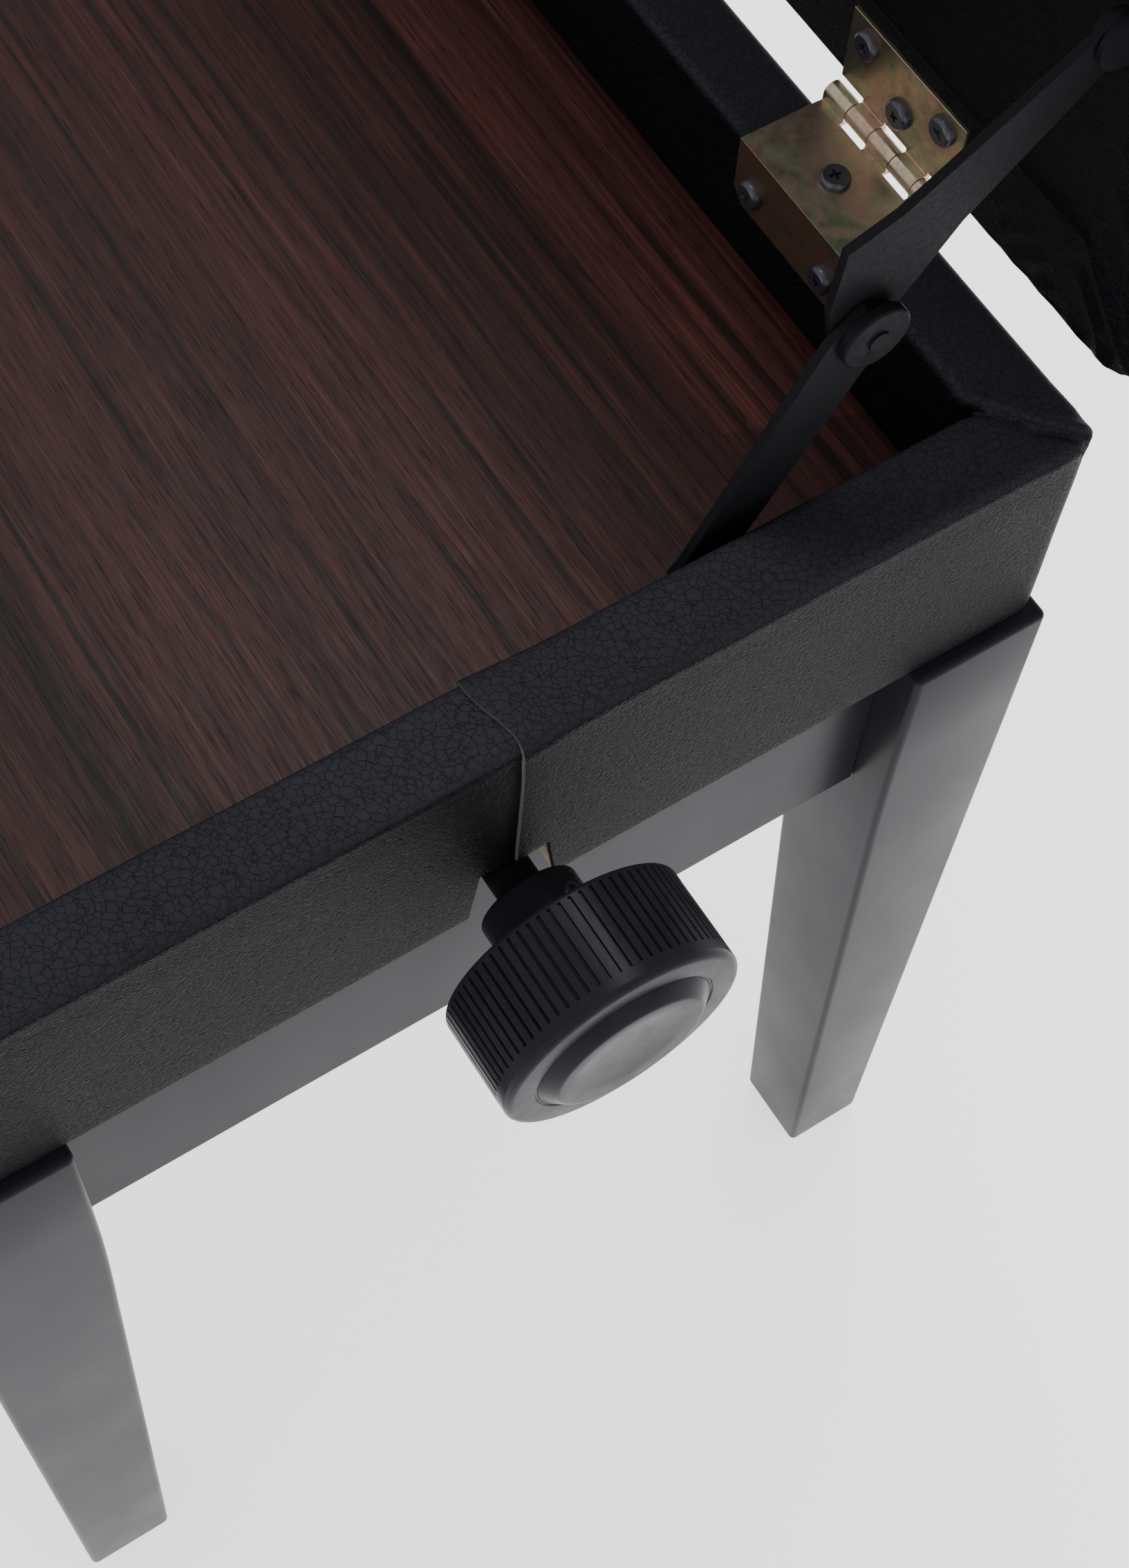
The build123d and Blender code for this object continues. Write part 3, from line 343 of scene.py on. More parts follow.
def wood_finish(name, base, along):
    """Bare wood or board edge with fibres along one axis."""
    finish = Finish(name, base, 0.7)
    scale = [70.0, 70.0, 70.0]
    scale[along] = 5.0
    fibres = finish.noise(finish.scaled(*scale), 4, 5, 0.65)
    finish.wire("Base Color", finish.ramp(fibres, [
        (0.3, stretched(base, 0.6)), (0.55, tuple(base)), (0.75, stretched(base, 1.3))]))
    finish.wire("Normal", finish.bump(fibres, 0.2 * MM, 0.4))
    return finish.material


def foam_finish(name):
    """Open-cell foam."""
    finish = Finish(name, (0.70, 0.62, 0.40), 0.95)
    cells = finish.add("ShaderNodeTexVoronoi", {"Vector": finish.place}, {"Scale": 900})
    finish.wire("Normal", finish.bump(cells.outputs["Distance"], 0.5 * MM, 0.8))
    finish.wire("Base Color", finish.ramp(cells.outputs["Distance"],
                                          [(0.1, (0.76, 0.69, 0.46)), (0.7, (0.42, 0.36, 0.22))]))
    return finish.material


def rubber_finish(name, base):
    """Matte rubber or nylon with a fine mould texture."""
    finish = Finish(name, base, 0.75)
    skin = finish.noise(finish.place, 1500, 3)
    finish.wire("Normal", finish.bump(skin, 0.05 * MM, 0.5))
    finish.wire("Roughness", finish.ramp(skin, [(0.3, 0.65), (0.7, 0.85)]))
    return finish.material


def backing_and_highlight_finish(name):
    """Pale woven backing that shows along a cut edge of the leatherette, made lighter than the leather partly as a
    painted highlight where light catches the seam's edge.
    """
    finish = Finish(name, (0.10, 0.10, 0.105), 0.85)
    weave = finish.noise(finish.place, 1800, 2)
    finish.wire("Base Color", finish.ramp(weave, [(0.3, 0.02), (0.7, 0.075)]))
    return finish.material


def make_finishes():
    """Every finish by the name of the record's material slot."""
    tones, sizes = settings()
    return {
        "leatherette": leather_finish("black_leatherette", tones.leather, sizes.grain),
        "lining": leather_finish("lid_underside_leatherette", tones.leather, sizes.grain * 0.7),
        "black_lacquer": lacquer_finish("black_lacquer", tones.lacquer),
        "rosewood_laminate": laminate_finish("rosewood_laminate", tones.laminate_dark,
                                             tones.laminate_light),
        "yellow_zinc": zinc_finish("yellow_zinc_plating", tones.zinc),
        "zinc_steel": metal_finish("bright_zinc_plating", tones.steel, 0.3, 1.0),
        "black_steel": metal_finish("black_coated_steel", tones.black, 0.42, 0.0),
        "black_screws": metal_finish("black_oxide", stretched(tones.black, 9), 0.34, 0.8),
        "bronze": metal_finish("sintered_bronze", (0.42, 0.26, 0.12), 0.45, 1.0),
        "knob_plastic": plastic_finish("knob_plastic", tones.plastic, 0.27),
        "bare_wood": wood_finish("bare_wood", stretched(tones.board, 1.15), 0),
        "wall_board": wood_finish("board_edge", tones.board, 1),
        "foam": foam_finish("seat_foam"),
        "nylon": rubber_finish("glide_nylon", (0.03, 0.03, 0.03)),
        "rubber_pads": rubber_finish("bumper_rubber", (0.015, 0.015, 0.015)),
    }


FINISHES = {}


def finish_for(slot):
    """The finish of a material slot, made the first time it is asked for."""
    if not FINISHES:
        FINISHES.update(make_finishes())
    return FINISHES[slot]


def slot_of(node):
    """The record's material slot of a CAD node."""
    return next(part["material_slot"] for part in frame["record"]["subparts"]
                if part["node"] == node)


def body_of(node):
    """The body that a CAD node belongs to."""
    bodies = frame["record"]["behaviour"]["bodies"]
    return next(body for body, nodes in bodies.items() if node in nodes)


# ---------------------------------------------------------------- mesh helpers

def object_of(name, mesh):
    """Object from a bmesh, which is freed, in the scene's collection."""
    data = bpy.data.meshes.new(name)
    mesh.to_mesh(data)
    mesh.free()
    made = bpy.data.objects.new(name, data)
    bpy.context.scene.collection.objects.link(made)
    return made


def finished(name, mesh, body, slot, replaced=(), smooth=35.0):
    """Object from a bmesh: shaded, given its finish, riding on its body."""
    made = object_of(name, mesh)
    data = made.data
    for polygon in data.polygons:
        polygon.use_smooth = True
    data.set_sharp_from_angle(angle=math.radians(smooth))
    data.materials.append(finish_for(slot))
    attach(made, body)
    if replaced:
        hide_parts(*replaced)
    return made


def copy_of(node):
    """Merged copy of a CAD node's mesh."""
    mesh = bmesh.new()
    mesh.from_mesh(frame["nodes"][node].data)
    bmesh.ops.remove_doubles(mesh, verts=mesh.verts, dist=1e-6)
    return mesh


def islands(mesh):
    """Connected groups of vertices of a mesh."""
    left = set(mesh.verts)
    groups = []
    while left:
        stack = [left.pop()]
        group = set(stack)
        while stack:
            for edge in stack.pop().link_edges:
                for vertex in edge.verts:
                    if vertex in left:
                        left.discard(vertex)
                        group.add(vertex)
                        stack.append(vertex)
        groups.append(group)
    return sorted(groups, key=lambda group: tuple(round(part, 5) for part in centre(group)))


def corners(points):
    """Lowest and highest corner of some vertices."""
    low = Vector(tuple(min(vertex.co[axis] for vertex in points) for axis in range(3)))
    high = Vector(tuple(max(vertex.co[axis] for vertex in points) for axis in range(3)))
    return low, high


def centre(points):
    """Middle of some vertices' box."""
    low, high = corners(points)
    return (low + high) / 2


def add_block(mesh, low, high):
    """Box between two corners, its faces ready to shape."""
    made = bmesh.ops.create_cube(mesh, size=1.0)["verts"]
    low, high = Vector(low), Vector(high)
    bmesh.ops.scale(mesh, vec=high - low, verts=made)
    bmesh.ops.translate(mesh, vec=(low + high) / 2, verts=made)


def cut_planes(mesh, axis, places):
    """Edge loops across a mesh at places along an axis."""
    normal = [0.0, 0.0, 0.0]
    normal[axis] = 1.0
    for place in places:
        point = [0.0, 0.0, 0.0]
        point[axis] = place
        everything = [*mesh.verts, *mesh.edges, *mesh.faces]
        bmesh.ops.bisect_plane(mesh, geom=everything, plane_co=point, plane_no=normal,
                               dist=1e-6)


def steps_between(low, high, spacing):
    """Even places strictly between two ends, no further apart than a spacing."""
    count = max(1, math.ceil((high - low) / spacing))
    return [low + (high - low) * index / count for index in range(1, count)]


def round_edges(mesh, edges, radius, segments):
    """Rounded edges."""
    bmesh.ops.bevel(mesh, geom=edges, offset=radius, offset_type="OFFSET", affect="EDGES",
                    segments=segments, profile=0.5, material=-1, clamp_overlap=True)


def upright(edge):
    """True for an edge along Z."""
    first, second = (vertex.co for vertex in edge.verts)
    return abs(first.x - second.x) < 1e-6 and abs(first.y - second.y) < 1e-6


def level(edge, height):
    """True for an edge that lies at a height."""
    return all(abs(vertex.co.z - height) < 1e-6 for vertex in edge.verts)


def square_edges(mesh, height):
    """Edges at a height where two faces meet squarely."""
    return [edge for edge in mesh.edges if level(edge, height) and len(edge.link_faces) == 2 and
            abs(edge.link_faces[0].normal.dot(edge.link_faces[1].normal)) < 0.1]


def end_face(mesh, sign):
    """Highest (1) or lowest (-1) face of a mesh."""
    return max(mesh.faces, key=lambda face: sign * face.calc_center_median().z)


def new_verts(made):
    """Vertices that a mesh operator made."""
    return [item for item in made["geom"] if isinstance(item, bmesh.types.BMVert)]


def slice_faces(mesh, wanted, point, normal):
    """Cut the faces that pass a test along a plane."""
    geometry = dict.fromkeys(item for face in mesh.faces if wanted(face)
                             for item in (face, *face.edges, *face.verts))
    bmesh.ops.bisect_plane(mesh, geom=list(geometry), plane_co=point, plane_no=normal,
                           dist=1e-6)


def mirrored(mesh):
    """The mesh swapped end for end."""
    bmesh.ops.scale(mesh, vec=(-1, 1, 1), verts=mesh.verts)
    bmesh.ops.reverse_faces(mesh, faces=mesh.faces)
    return mesh


# ---------------------------------------------------------------- box cover

def ring_cover():
    """Cover as a folded ring: outside wall, rim, inside wall and the turned-in bottom edge."""
    sizes = settings()[1]
    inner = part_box("wall_rear")[0].y
    rim = COVER_HIGH.y - inner + COVER_SKIN
    floor_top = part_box("storage_floor")[1].z
    mesh = bmesh.new()
    add_block(mesh, COVER_LOW, COVER_HIGH)
    top, bottom = end_face(mesh, 1), end_face(mesh, -1)
    bmesh.ops.inset_region(mesh, faces=[top], thickness=rim, depth=0, use_even_offset=True)
    shelf = new_verts(bmesh.ops.extrude_face_region(mesh, geom=[top]))
    bmesh.ops.translate(mesh, vec=(0, 0, floor_top - COVER_HIGH.z), verts=shelf)
    bmesh.ops.inset_region(mesh, faces=[bottom], thickness=rim - 3 * MM, depth=0,
                           use_even_offset=True)
    doomed = [face for face in mesh.faces
              if len(face.verts) == 4 and abs(face.normal.z) > 0.9 and
              face.calc_area() > 0.1]
    bmesh.ops.delete(mesh, geom=doomed, context="FACES")
    outer_corners = [edge for edge in mesh.edges if upright(edge) and
                     abs(edge.verts[0].co.x) > COVER_HIGH.x - 1 * MM]
    round_edges(mesh, outer_corners, 8 * MM, 6)
    round_edges(mesh, square_edges(mesh, COVER_HIGH.z), sizes.rim_roll, 5)
    round_edges(mesh, square_edges(mesh, COVER_LOW.z), 1.6 * MM, 3)
    return mesh, rim


def mitre_cuts(mesh, rim):
    """Loops beside the four mitre lines of the rim, so that its pleats have edges to fold on."""
    for side_x in (-1, 1):
        for side_y in (-1, 1):
            half_y = COVER_HIGH.y - MIDDLE_Y
            corner = Vector((side_x * COVER_HIGH.x, MIDDLE_Y + side_y * half_y, 0))
            across = Vector((side_y, -side_x, 0)).normalized()

            def on_mitre(face):
                out = (face.calc_center_median().xy - corner.xy).length
                return out < 1.6 * rim and face.normal.z > 0.3

            for offset in (-7.0, -4.0, -2.0, -0.5, 0.5, 2.0, 4.0, 7.0):
                slice_faces(mesh, on_mitre, corner + across * offset * MM, across)


def smooth_step(value):
    """Smooth rise from 0 to 1."""
    value = min(1.0, max(0.0, value))
    return value * value * (3 - 2 * value)


def seam_height(place):
    """Overlap where the cover's two ends meet at the middle of the right-hand end."""
    across = (place.y - MIDDLE_Y) / MM
    if place.x < 0.2 or abs(across) > 30:
        return 0.0
    if across < -0.05:
        return -0.15 * math.exp(-(across / 4) ** 2)
    return 1.1 * math.exp(-(across / 12) ** 2)


def seam_wave(place):
    """Sideways wander of the seam, fading out to each side."""
    across = (place.y - MIDDLE_Y) / MM
    if place.x < 0.2 or abs(across) > 30:
        return 0.0
    inward = (COVER_HIGH.x - place.x) / MM
    down = (COVER_HIGH.z - place.z) / MM
    wander = 1.3 * math.sin(inward * 0.22 + 0.6) - 0.05 * inward + 0.3 * math.sin(down * 0.10)
    return wander * MM * math.exp(-(across / 14) ** 2) * min(1.0, (place.z - COVER_LOW.z) / 0.03)


def pleat_height(place, rim):
    """Fold across the rim at each mitred corner, with one side lapped over the other."""
    if place.z < COVER_HIGH.z - 6 * MM:
        return 0.0
    x = COVER_HIGH.x - abs(place.x)
    y = (COVER_HIGH.y - MIDDLE_Y) - abs(place.y - MIDDLE_Y)
    if x > 1.8 * rim or y > 1.8 * rim:
        return 0.0
    across = (x - y) / math.sqrt(2) / MM
    along = (x + y) / 2 / rim
    curl = across + 1.2 * math.sin(along * 5.0)
    ridge = 1.6 * math.exp(-((curl - 2.0) / 2.2) ** 2) - 2.2 * math.exp(-((curl + 0.7) / 1.1) ** 2)
    second = 0.5 * math.exp(-((curl - 8.0 - 4 * along) / 1.8) ** 2)
    third = 0.6 * math.exp(-((curl + 6.5 + 5 * along) / 1.7) ** 2)
    return (ridge + second + third) * smooth_step(1.4 - 1.1 * abs(along - 0.5))


def pressed(place):
    """Share of the spot on the rim, near each front corner, that a lid bumper presses flat."""
    x = COVER_HIGH.x - 14 * MM - abs(place.x)
    y = place.y - COVER_LOW.y - 14 * MM
    return math.exp(-((x * x + y * y) / (12 * MM) ** 2) ** 2)


def shape_cover(mesh, rim):
    """Lift the seam and the pleats, sink a soft crease under the rim's edge, press the spots under the lid bumpers
    flat, and let the leather ripple a little.
    """
    lip = settings()[1].seam_lip
    mesh.normal_update()
    moves = []
    for vertex in mesh.verts:
        place = vertex.co
        outside = place.z > COVER_LOW.z + 1 * MM
        rise = lip * seam_height(place) if outside else 0.0
        rise += 0.8 * lip * pleat_height(place, rim)
        down = (COVER_HIGH.z - place.z) / MM
        if outside and max(abs(vertex.normal.x), abs(vertex.normal.y)) > 0.8:
            rise -= 0.5 * MM * math.exp(-((down - 6.5) / 2.2) ** 2)
        ripple = noise.noise(Vector((place.x * 18, place.y * 18, place.z * 30)))
        rise += 0.22 * MM * ripple if outside else 0.0
        if vertex.normal.z > 0.5 and place.z > COVER_HIGH.z - 4 * MM:
            rise -= (rise + 0.3 * MM) * pressed(place)
        moves.append((vertex, vertex.normal * rise + Vector((0, seam_wave(place), 0))))
    for vertex, move in moves:
        vertex.co += move


def cut_notch(mesh):
    """Opening in both end walls over the spindle, its edges turned in to the board."""
    wall_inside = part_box("wall_right")[0].x - 4 * MM
    half_low, half_high = 12.5 * MM, 9.5 * MM
    top = SPINDLE_Z + 11 * MM
    lean = (half_low - half_high) / (top - COVER_LOW.z)

    def near(face):
        middle = face.calc_center_median()
        return abs(middle.y - MIDDLE_Y) < 20 * MM and abs(middle.x) > wall_inside

    for side in (-1, 1):
        normal = Vector((0, side, lean)).normalized()
        slice_faces(mesh, near, Vector((0, MIDDLE_Y + side * half_low, COVER_LOW.z)), normal)
    slice_faces(mesh, near, (0, 0, top), (0, 0, 1))

    def inside(face):
        middle = face.calc_center_median()
        if abs(middle.x) < wall_inside or middle.z > top:
            return False
        reach = half_low - lean * max(0.0, middle.z - COVER_LOW.z)
        return abs(middle.y - MIDDLE_Y) < reach

    doomed = [face for face in mesh.faces if inside(face)]
    bmesh.ops.delete(mesh, geom=doomed, context="FACES")
    lips = [edge for edge in mesh.edges if edge.is_boundary and
            abs(centre(edge.verts).y - MIDDLE_Y) < half_low + 1 * MM and
            min(vertex.co.z for vertex in edge.verts) > COVER_LOW.z - 1 * MM and
            all(abs(vertex.co.x) > COVER_HIGH.x - 2 * MM for vertex in edge.verts)]
    turned_in, trimmed = 17 * MM, 1.5 * MM
    for vertex in new_verts(bmesh.ops.extrude_edge_only(mesh, edges=lips)):
        cut_edge = vertex.co.y > MIDDLE_Y + half_high - 1 * MM and vertex.co.z < top - 1 * MM
        vertex.co.x -= math.copysign(trimmed if cut_edge else turned_in, vertex.co.x)


def make_cover():
    """Leatherette cover of the storage box."""
    mesh, rim = ring_cover()
    spacing = 3.2 * MM
    cut_planes(mesh, 0, steps_between(COVER_LOW.x, COVER_HIGH.x, spacing * 1.5))
    cut_planes(mesh, 1, steps_between(COVER_LOW.y, COVER_HIGH.y, spacing))
    seam = [MIDDLE_Y + offset * MM for offset in
            (-6, -4.5, -3, -2, -1, -0.5, -0.12, 0.0, 0.12, 0.5, 1, 2, 3.5, 5.5, 8)]
    cut_planes(mesh, 1, seam)
    cut_planes(mesh, 2, steps_between(COVER_LOW.z, COVER_HIGH.z, spacing * 1.5))
    mitre_cuts(mesh, rim)
    cut_notch(mesh)
    # The seam's step faces take the backing finish: partly the real cut edge, partly a painted highlight along the
    # lit edge of the seam.
    for face in mesh.faces:
        middle = face.calc_center_median()
        if middle.x > 0.2 and -0.12 * MM < middle.y - MIDDLE_Y < 0:
            face.material_index = 1
    shape_cover(mesh, rim)
    bmesh.ops.triangulate(mesh, faces=[face for face in mesh.faces if len(face.verts) > 4])
    cover = finished("box_leatherette_cover", mesh, "box", "leatherette", ["box_cover"], 60)
    cover.data.materials.append(backing_and_highlight_finish("leatherette_cut_edge_and_highlight"))
    return cover


class BENCH_OT_box_cover(bpy.types.Operator):
    """Wrap the storage box in leatherette with a lapped seam, pleated corners and notches"""
    bl_idname = "bench.box_cover"
    bl_label = "Box cover"

    def execute(self, context):
        cover = make_cover()
        skin = cover.modifiers.new("leather thickness", "SOLIDIFY")
        skin.thickness = 0.9 * MM
        skin.offset = -1
        return {"FINISHED"}


# ---------------------------------------------------------------- legs and aprons

def leg_mesh(node):
    """Square leg: outer faces upright, inner faces straight and then tapering to the foot."""
    low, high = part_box(node)
    outer_x = high.x if high.x > 0 else low.x
    outer_y = high.y if (low.y + high.y) / 2 > MIDDLE_Y else low.y
    side = high.x - low.x
    foot = 29 * MM
    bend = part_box("apron_right")[0].z + 4 * MM
    soft = 26 * MM
    slope = (side - foot) / (bend - low.z)
    mesh = bmesh.new()
    add_block(mesh, low, high)
    cut_planes(mesh, 2, steps_between(low.z, bend - soft, 60 * MM))
    cut_planes(mesh, 2, [bend + soft * step / 6 for step in range(-6, 7)])
    for vertex in mesh.verts:
        under = bend - vertex.co.z
        if under > soft:
            loss = slope * under
        elif under > -soft:
            loss = slope * (under + soft) ** 2 / (4 * soft)
        else:
            loss = 0.0
        if abs(vertex.co.x - outer_x) > side / 2:
            vertex.co.x += math.copysign(loss, outer_x - vertex.co.x)
        if abs(vertex.co.y - outer_y) > side / 2:
            vertex.co.y += math.copysign(loss, outer_y - vertex.co.y)
    long_edges = [edge for edge in mesh.edges
                  if abs(edge.verts[0].co.z - edge.verts[1].co.z) > 1 * MM and
                  len(edge.link_faces) == 2 and
                  edge.link_faces[0].normal.dot(edge.link_faces[1].normal) < 0.5]
    ends = [edge for edge in mesh.edges if level(edge, low.z) or level(edge, high.z)]
    round_edges(mesh, long_edges + ends, settings()[1].leg_round, 4)
    return mesh


class BENCH_OT_legs(bpy.types.Operator):
    """Make the four tapered legs"""
    bl_idname = "bench.legs"
    bl_label = "Legs"

    def execute(self, context):
        for node in ("leg_rear_right", "leg_rear_left", "leg_front_right", "leg_front_left"):
            finished(f"tapered_{node}", leg_mesh(node), "base", "black_lacquer", [node])
        return {"FINISHED"}


def eased(node, width, segments=2):
    """Stand-in for a CAD node with small bevels on its edges."""
    mesh = copy_of(node)
    bmesh.ops.dissolve_limit(mesh, angle_limit=math.radians(0.5), verts=mesh.verts,
                             edges=mesh.edges)
    made = finished(f"eased_{node}", mesh, body_of(node), slot_of(node), [node])
    bevel = made.modifiers.new("eased edges", "BEVEL")
    bevel.width = width
    bevel.segments = segments
    bevel.limit_method = "ANGLE"
    bevel.angle_limit = math.radians(40)
    bevel.harden_normals = True


class BENCH_OT_woodwork(bpy.types.Operator):
    """Ease the edges of the aprons and corner braces"""
    bl_idname = "bench.woodwork"
    bl_label = "Aprons and braces"

    def execute(self, context):
        for node in ("apron_front", "apron_rear", "apron_left", "apron_right"):
            eased(node, 1.2 * MM, 3)
        eased("corner_braces", 0.8 * MM)
        return {"FINISHED"}


# ---------------------------------------------------------------- knobs

def arc_points(centre_x, centre_r, radius, start, end, steps):
    """Points of a rounded edge, as (x, radius) pairs, between two angles from the axis."""
    turns = [math.radians(start + (end - start) * step / steps) for step in range(steps + 1)]
    return [(centre_x + radius * math.cos(turn), centre_r + radius * math.sin(turn))
            for turn in turns]


def knob_drum(node):
    """Grooved drum with a raised round face and a boss behind, for the right end."""
    sizes = settings()[1]
    low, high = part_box(node)
    radius = (high.z - low.z) / 2
    rise, drum_length = 3.0 * MM, 27.5 * MM
    front = high.x - rise
    back = front - drum_length
    grooves = sizes.knob_grooves
    segments = grooves * 3
    mesh = bmesh.new()
    start, end = back + 1.4 * MM, front - 4.6 * MM
    profile = [(low.x, 6.2 * MM), (low.x, 11.6 * MM),
               *arc_points(low.x + 1.2 * MM, 11.8 * MM, 1.2 * MM, 180, 90, 4)]
    profile += [(back - 1.0 * MM, 13 * MM), (back, 14 * MM), (back, radius - 1.6 * MM),
                *arc_points(back + 1.2 * MM, radius - 1.2 * MM, 1.2 * MM, 180, 90, 4)]
    profile += [(start, radius), (end, radius), (front - 2.2 * MM, radius),
                *arc_points(front - 1.9 * MM, radius - 1.9 * MM, 1.9 * MM, 90, 0, 6)]
    profile += [
        (front, 24.4 * MM), (front - 0.35 * MM, 24.1 * MM), (front - 0.35 * MM, 23.7 * MM),
        (front + 0.1 * MM, 23.4 * MM), (front + rise - 0.5 * MM, 20.4 * MM),
        (front + rise - 0.15 * MM, 20.0 * MM), (front + rise, 19.4 * MM),
        (front + rise - 0.5 * MM, 14 * MM), (front + rise - 0.9 * MM, 7 * MM),
    ]
    chain = [mesh.verts.new((x, MIDDLE_Y + r, SPINDLE_Z)) for x, r in profile]
    tip = mesh.verts.new((front + rise - 1.0 * MM, MIDDLE_Y, SPINDLE_Z))
    edges = [mesh.edges.new(pair) for pair in zip(chain, [*chain[1:], tip])]
    bmesh.ops.spin(mesh, geom=[*chain, tip, *edges], cent=(0, MIDDLE_Y, SPINDLE_Z),
                   axis=(1, 0, 0), angle=math.tau, steps=segments, use_merge=True,
                   use_duplicate=False)
    bmesh.ops.remove_doubles(mesh, verts=mesh.verts, dist=1e-6)
    bmesh.ops.recalc_face_normals(mesh, faces=mesh.faces)
    mesh.normal_update()

    def grooved(face):
        middle = face.calc_center_median()
        out = math.hypot(middle.y - MIDDLE_Y, middle.z - SPINDLE_Z)
        if not start < middle.x < end or out < radius - 1 * MM:
            return False
        turn = math.atan2(middle.z - SPINDLE_Z, middle.y - MIDDLE_Y) % math.tau
        return int(turn / math.tau * segments) % 3 == 0

    slots = [face for face in mesh.faces if grooved(face)]
    bmesh.ops.inset_individual(mesh, faces=slots, thickness=0.18 * MM,
                               depth=-sizes.groove_depth, use_even_offset=True)
    return mesh


def set_screw_mesh(sign):
    """Socket set screw standing a little out of the boss of one knob."""
    radius, socket_flat = 2.5 * MM, 1.15 * MM
    middle_out, lean = 9.8 * MM, math.radians(35)
    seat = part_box("knob_set_screws")[1].x - radius
    mesh = bmesh.new()
    bmesh.ops.create_cone(mesh, cap_ends=True, cap_tris=False, segments=24, radius1=radius,
                          radius2=radius, depth=7 * MM)
    round_edges(mesh, list(end_face(mesh, 1).edges), 0.4 * MM, 2)
    top = end_face(mesh, 1)
    bmesh.ops.inset_region(mesh, faces=[top], thickness=0.5 * MM, depth=0, use_even_offset=True)
    for vertex in top.verts:
        turn = math.atan2(vertex.co.y, vertex.co.x) % (math.pi / 3) - math.pi / 6
        shrink = socket_flat / math.cos(turn) / vertex.co.xy.length
        vertex.co.x *= shrink
        vertex.co.y *= shrink
    sunk = new_verts(bmesh.ops.extrude_face_region(mesh, geom=[top]))
    bmesh.ops.delete(mesh, geom=[top], context="FACES")
    bmesh.ops.translate(mesh, vec=(0, 0, -2 * MM), verts=sunk)
    bmesh.ops.translate(mesh, vec=(0, 0, middle_out), verts=mesh.verts)
    bmesh.ops.rotate(mesh, cent=(0, 0, 0), matrix=Matrix.Rotation(-lean, 3, "X"),
                     verts=mesh.verts)
    bmesh.ops.translate(mesh, vec=(seat, MIDDLE_Y, SPINDLE_Z), verts=mesh.verts)
    if sign < 0:
        mirrored(mesh)
    bmesh.ops.recalc_face_normals(mesh, faces=mesh.faces)
    return mesh


class BENCH_OT_knobs(bpy.types.Operator):
    """Make the grooved hand knobs with their set screws"""
    bl_idname = "bench.knobs"
    bl_label = "Hand knobs"

    def execute(self, context):
        for end, sign in ENDS.items():
            mesh = knob_drum("knob_right")
            if sign < 0:
                mirrored(mesh)
            finished(f"grooved_knob_{end}", mesh, "spindle_body", "knob_plastic",
                     [f"knob_{end}"], 28)
            finished(f"knob_set_screw_{end}", set_screw_mesh(sign), "spindle_body",
                     slot_of("knob_set_screws"), ["knob_set_screws"] if sign > 0 else [], 28)
        return {"FINISHED"}


# ---------------------------------------------------------------- screws

def phillips_head(mesh, radius, height):
    """Pan head with a cross recess in an empty mesh, standing on Z = 0 about the origin."""
    lines = (-1.0, -0.5, -0.13, 0.13, 0.5, 1.0)
    made = bmesh.ops.create_grid(mesh, x_segments=5, y_segments=5, size=1.0)["verts"]
    grid = (-1.0, -0.6, -0.2, 0.2, 0.6, 1.0)
    for vertex in made:
        place = [lines[min(range(6), key=lambda index: abs(grid[index] - part))]
                 for part in vertex.co.xy]
        vertex.co.x, vertex.co.y = place
    rim = [vertex for vertex in made if vertex.is_boundary]
    for vertex in rim:
        direction = vertex.co.xy.normalized()
        vertex.co.x, vertex.co.y = direction
    bmesh.ops.scale(mesh, vec=(radius * 0.8, radius * 0.8, 1), verts=made)
    bmesh.ops.translate(mesh, vec=(0, 0, height), verts=made)

    def in_cross(face):
        middle = face.calc_center_median()
        across = min(abs(middle.x), abs(middle.y))
        out = max(abs(middle.x), abs(middle.y))
        return across < 0.12 * radius and out < 0.5 * radius

    cross = [face for face in mesh.faces if in_cross(face)]
    boundary = [edge for edge in mesh.edges if edge.is_boundary]
    bottom = new_verts(bmesh.ops.extrude_face_region(mesh, geom=cross))
    bmesh.ops.translate(mesh, vec=(0, 0, -0.62 * height), verts=bottom)
    bmesh.ops.scale(mesh, vec=(0.72, 0.72, 1), verts=bottom)
    bmesh.ops.delete(mesh, geom=cross, context="FACES_ONLY")
    for grow, drop in ((1.15, 0.18), (1.25, 0.5), (1.25, 1.0)):
        pulled = bmesh.ops.extrude_edge_only(mesh, edges=boundary)
        ring = new_verts(pulled)
        boundary = [item for item in pulled["geom"] if isinstance(item, bmesh.types.BMEdge)
                    and item.is_boundary]
        for vertex in ring:
            flat = vertex.co.xy.normalized() * radius * 0.8 * grow
            vertex.co = (flat.x, flat.y, height * (1 - drop))


def screw_pose(group):
    """Where a CAD screw's head seats, which way it faces, and its head's radius and height."""
    low, high = corners(group)
    size = high - low
    axis = max(range(3), key=lambda index: size[index])
    others = [index for index in range(3) if index != axis]

    def spread(value):
        near = [vertex for vertex in group if abs(vertex.co[axis] - value) < 0.1 * MM]
        return max(vertex.co[others[0]] for vertex in near) - min(
            vertex.co[others[0]] for vertex in near)

    facing = Vector((0, 0, 0))
    facing[axis] = 1.0 if spread(high[axis]) > spread(low[axis]) else -1.0
    middle = (low + high) / 2
    height = 2 * MM
    middle[axis] = (high if facing[axis] > 0 else low)[axis] - facing[axis] * height
    return middle, facing, size[others[0]] / 2, height


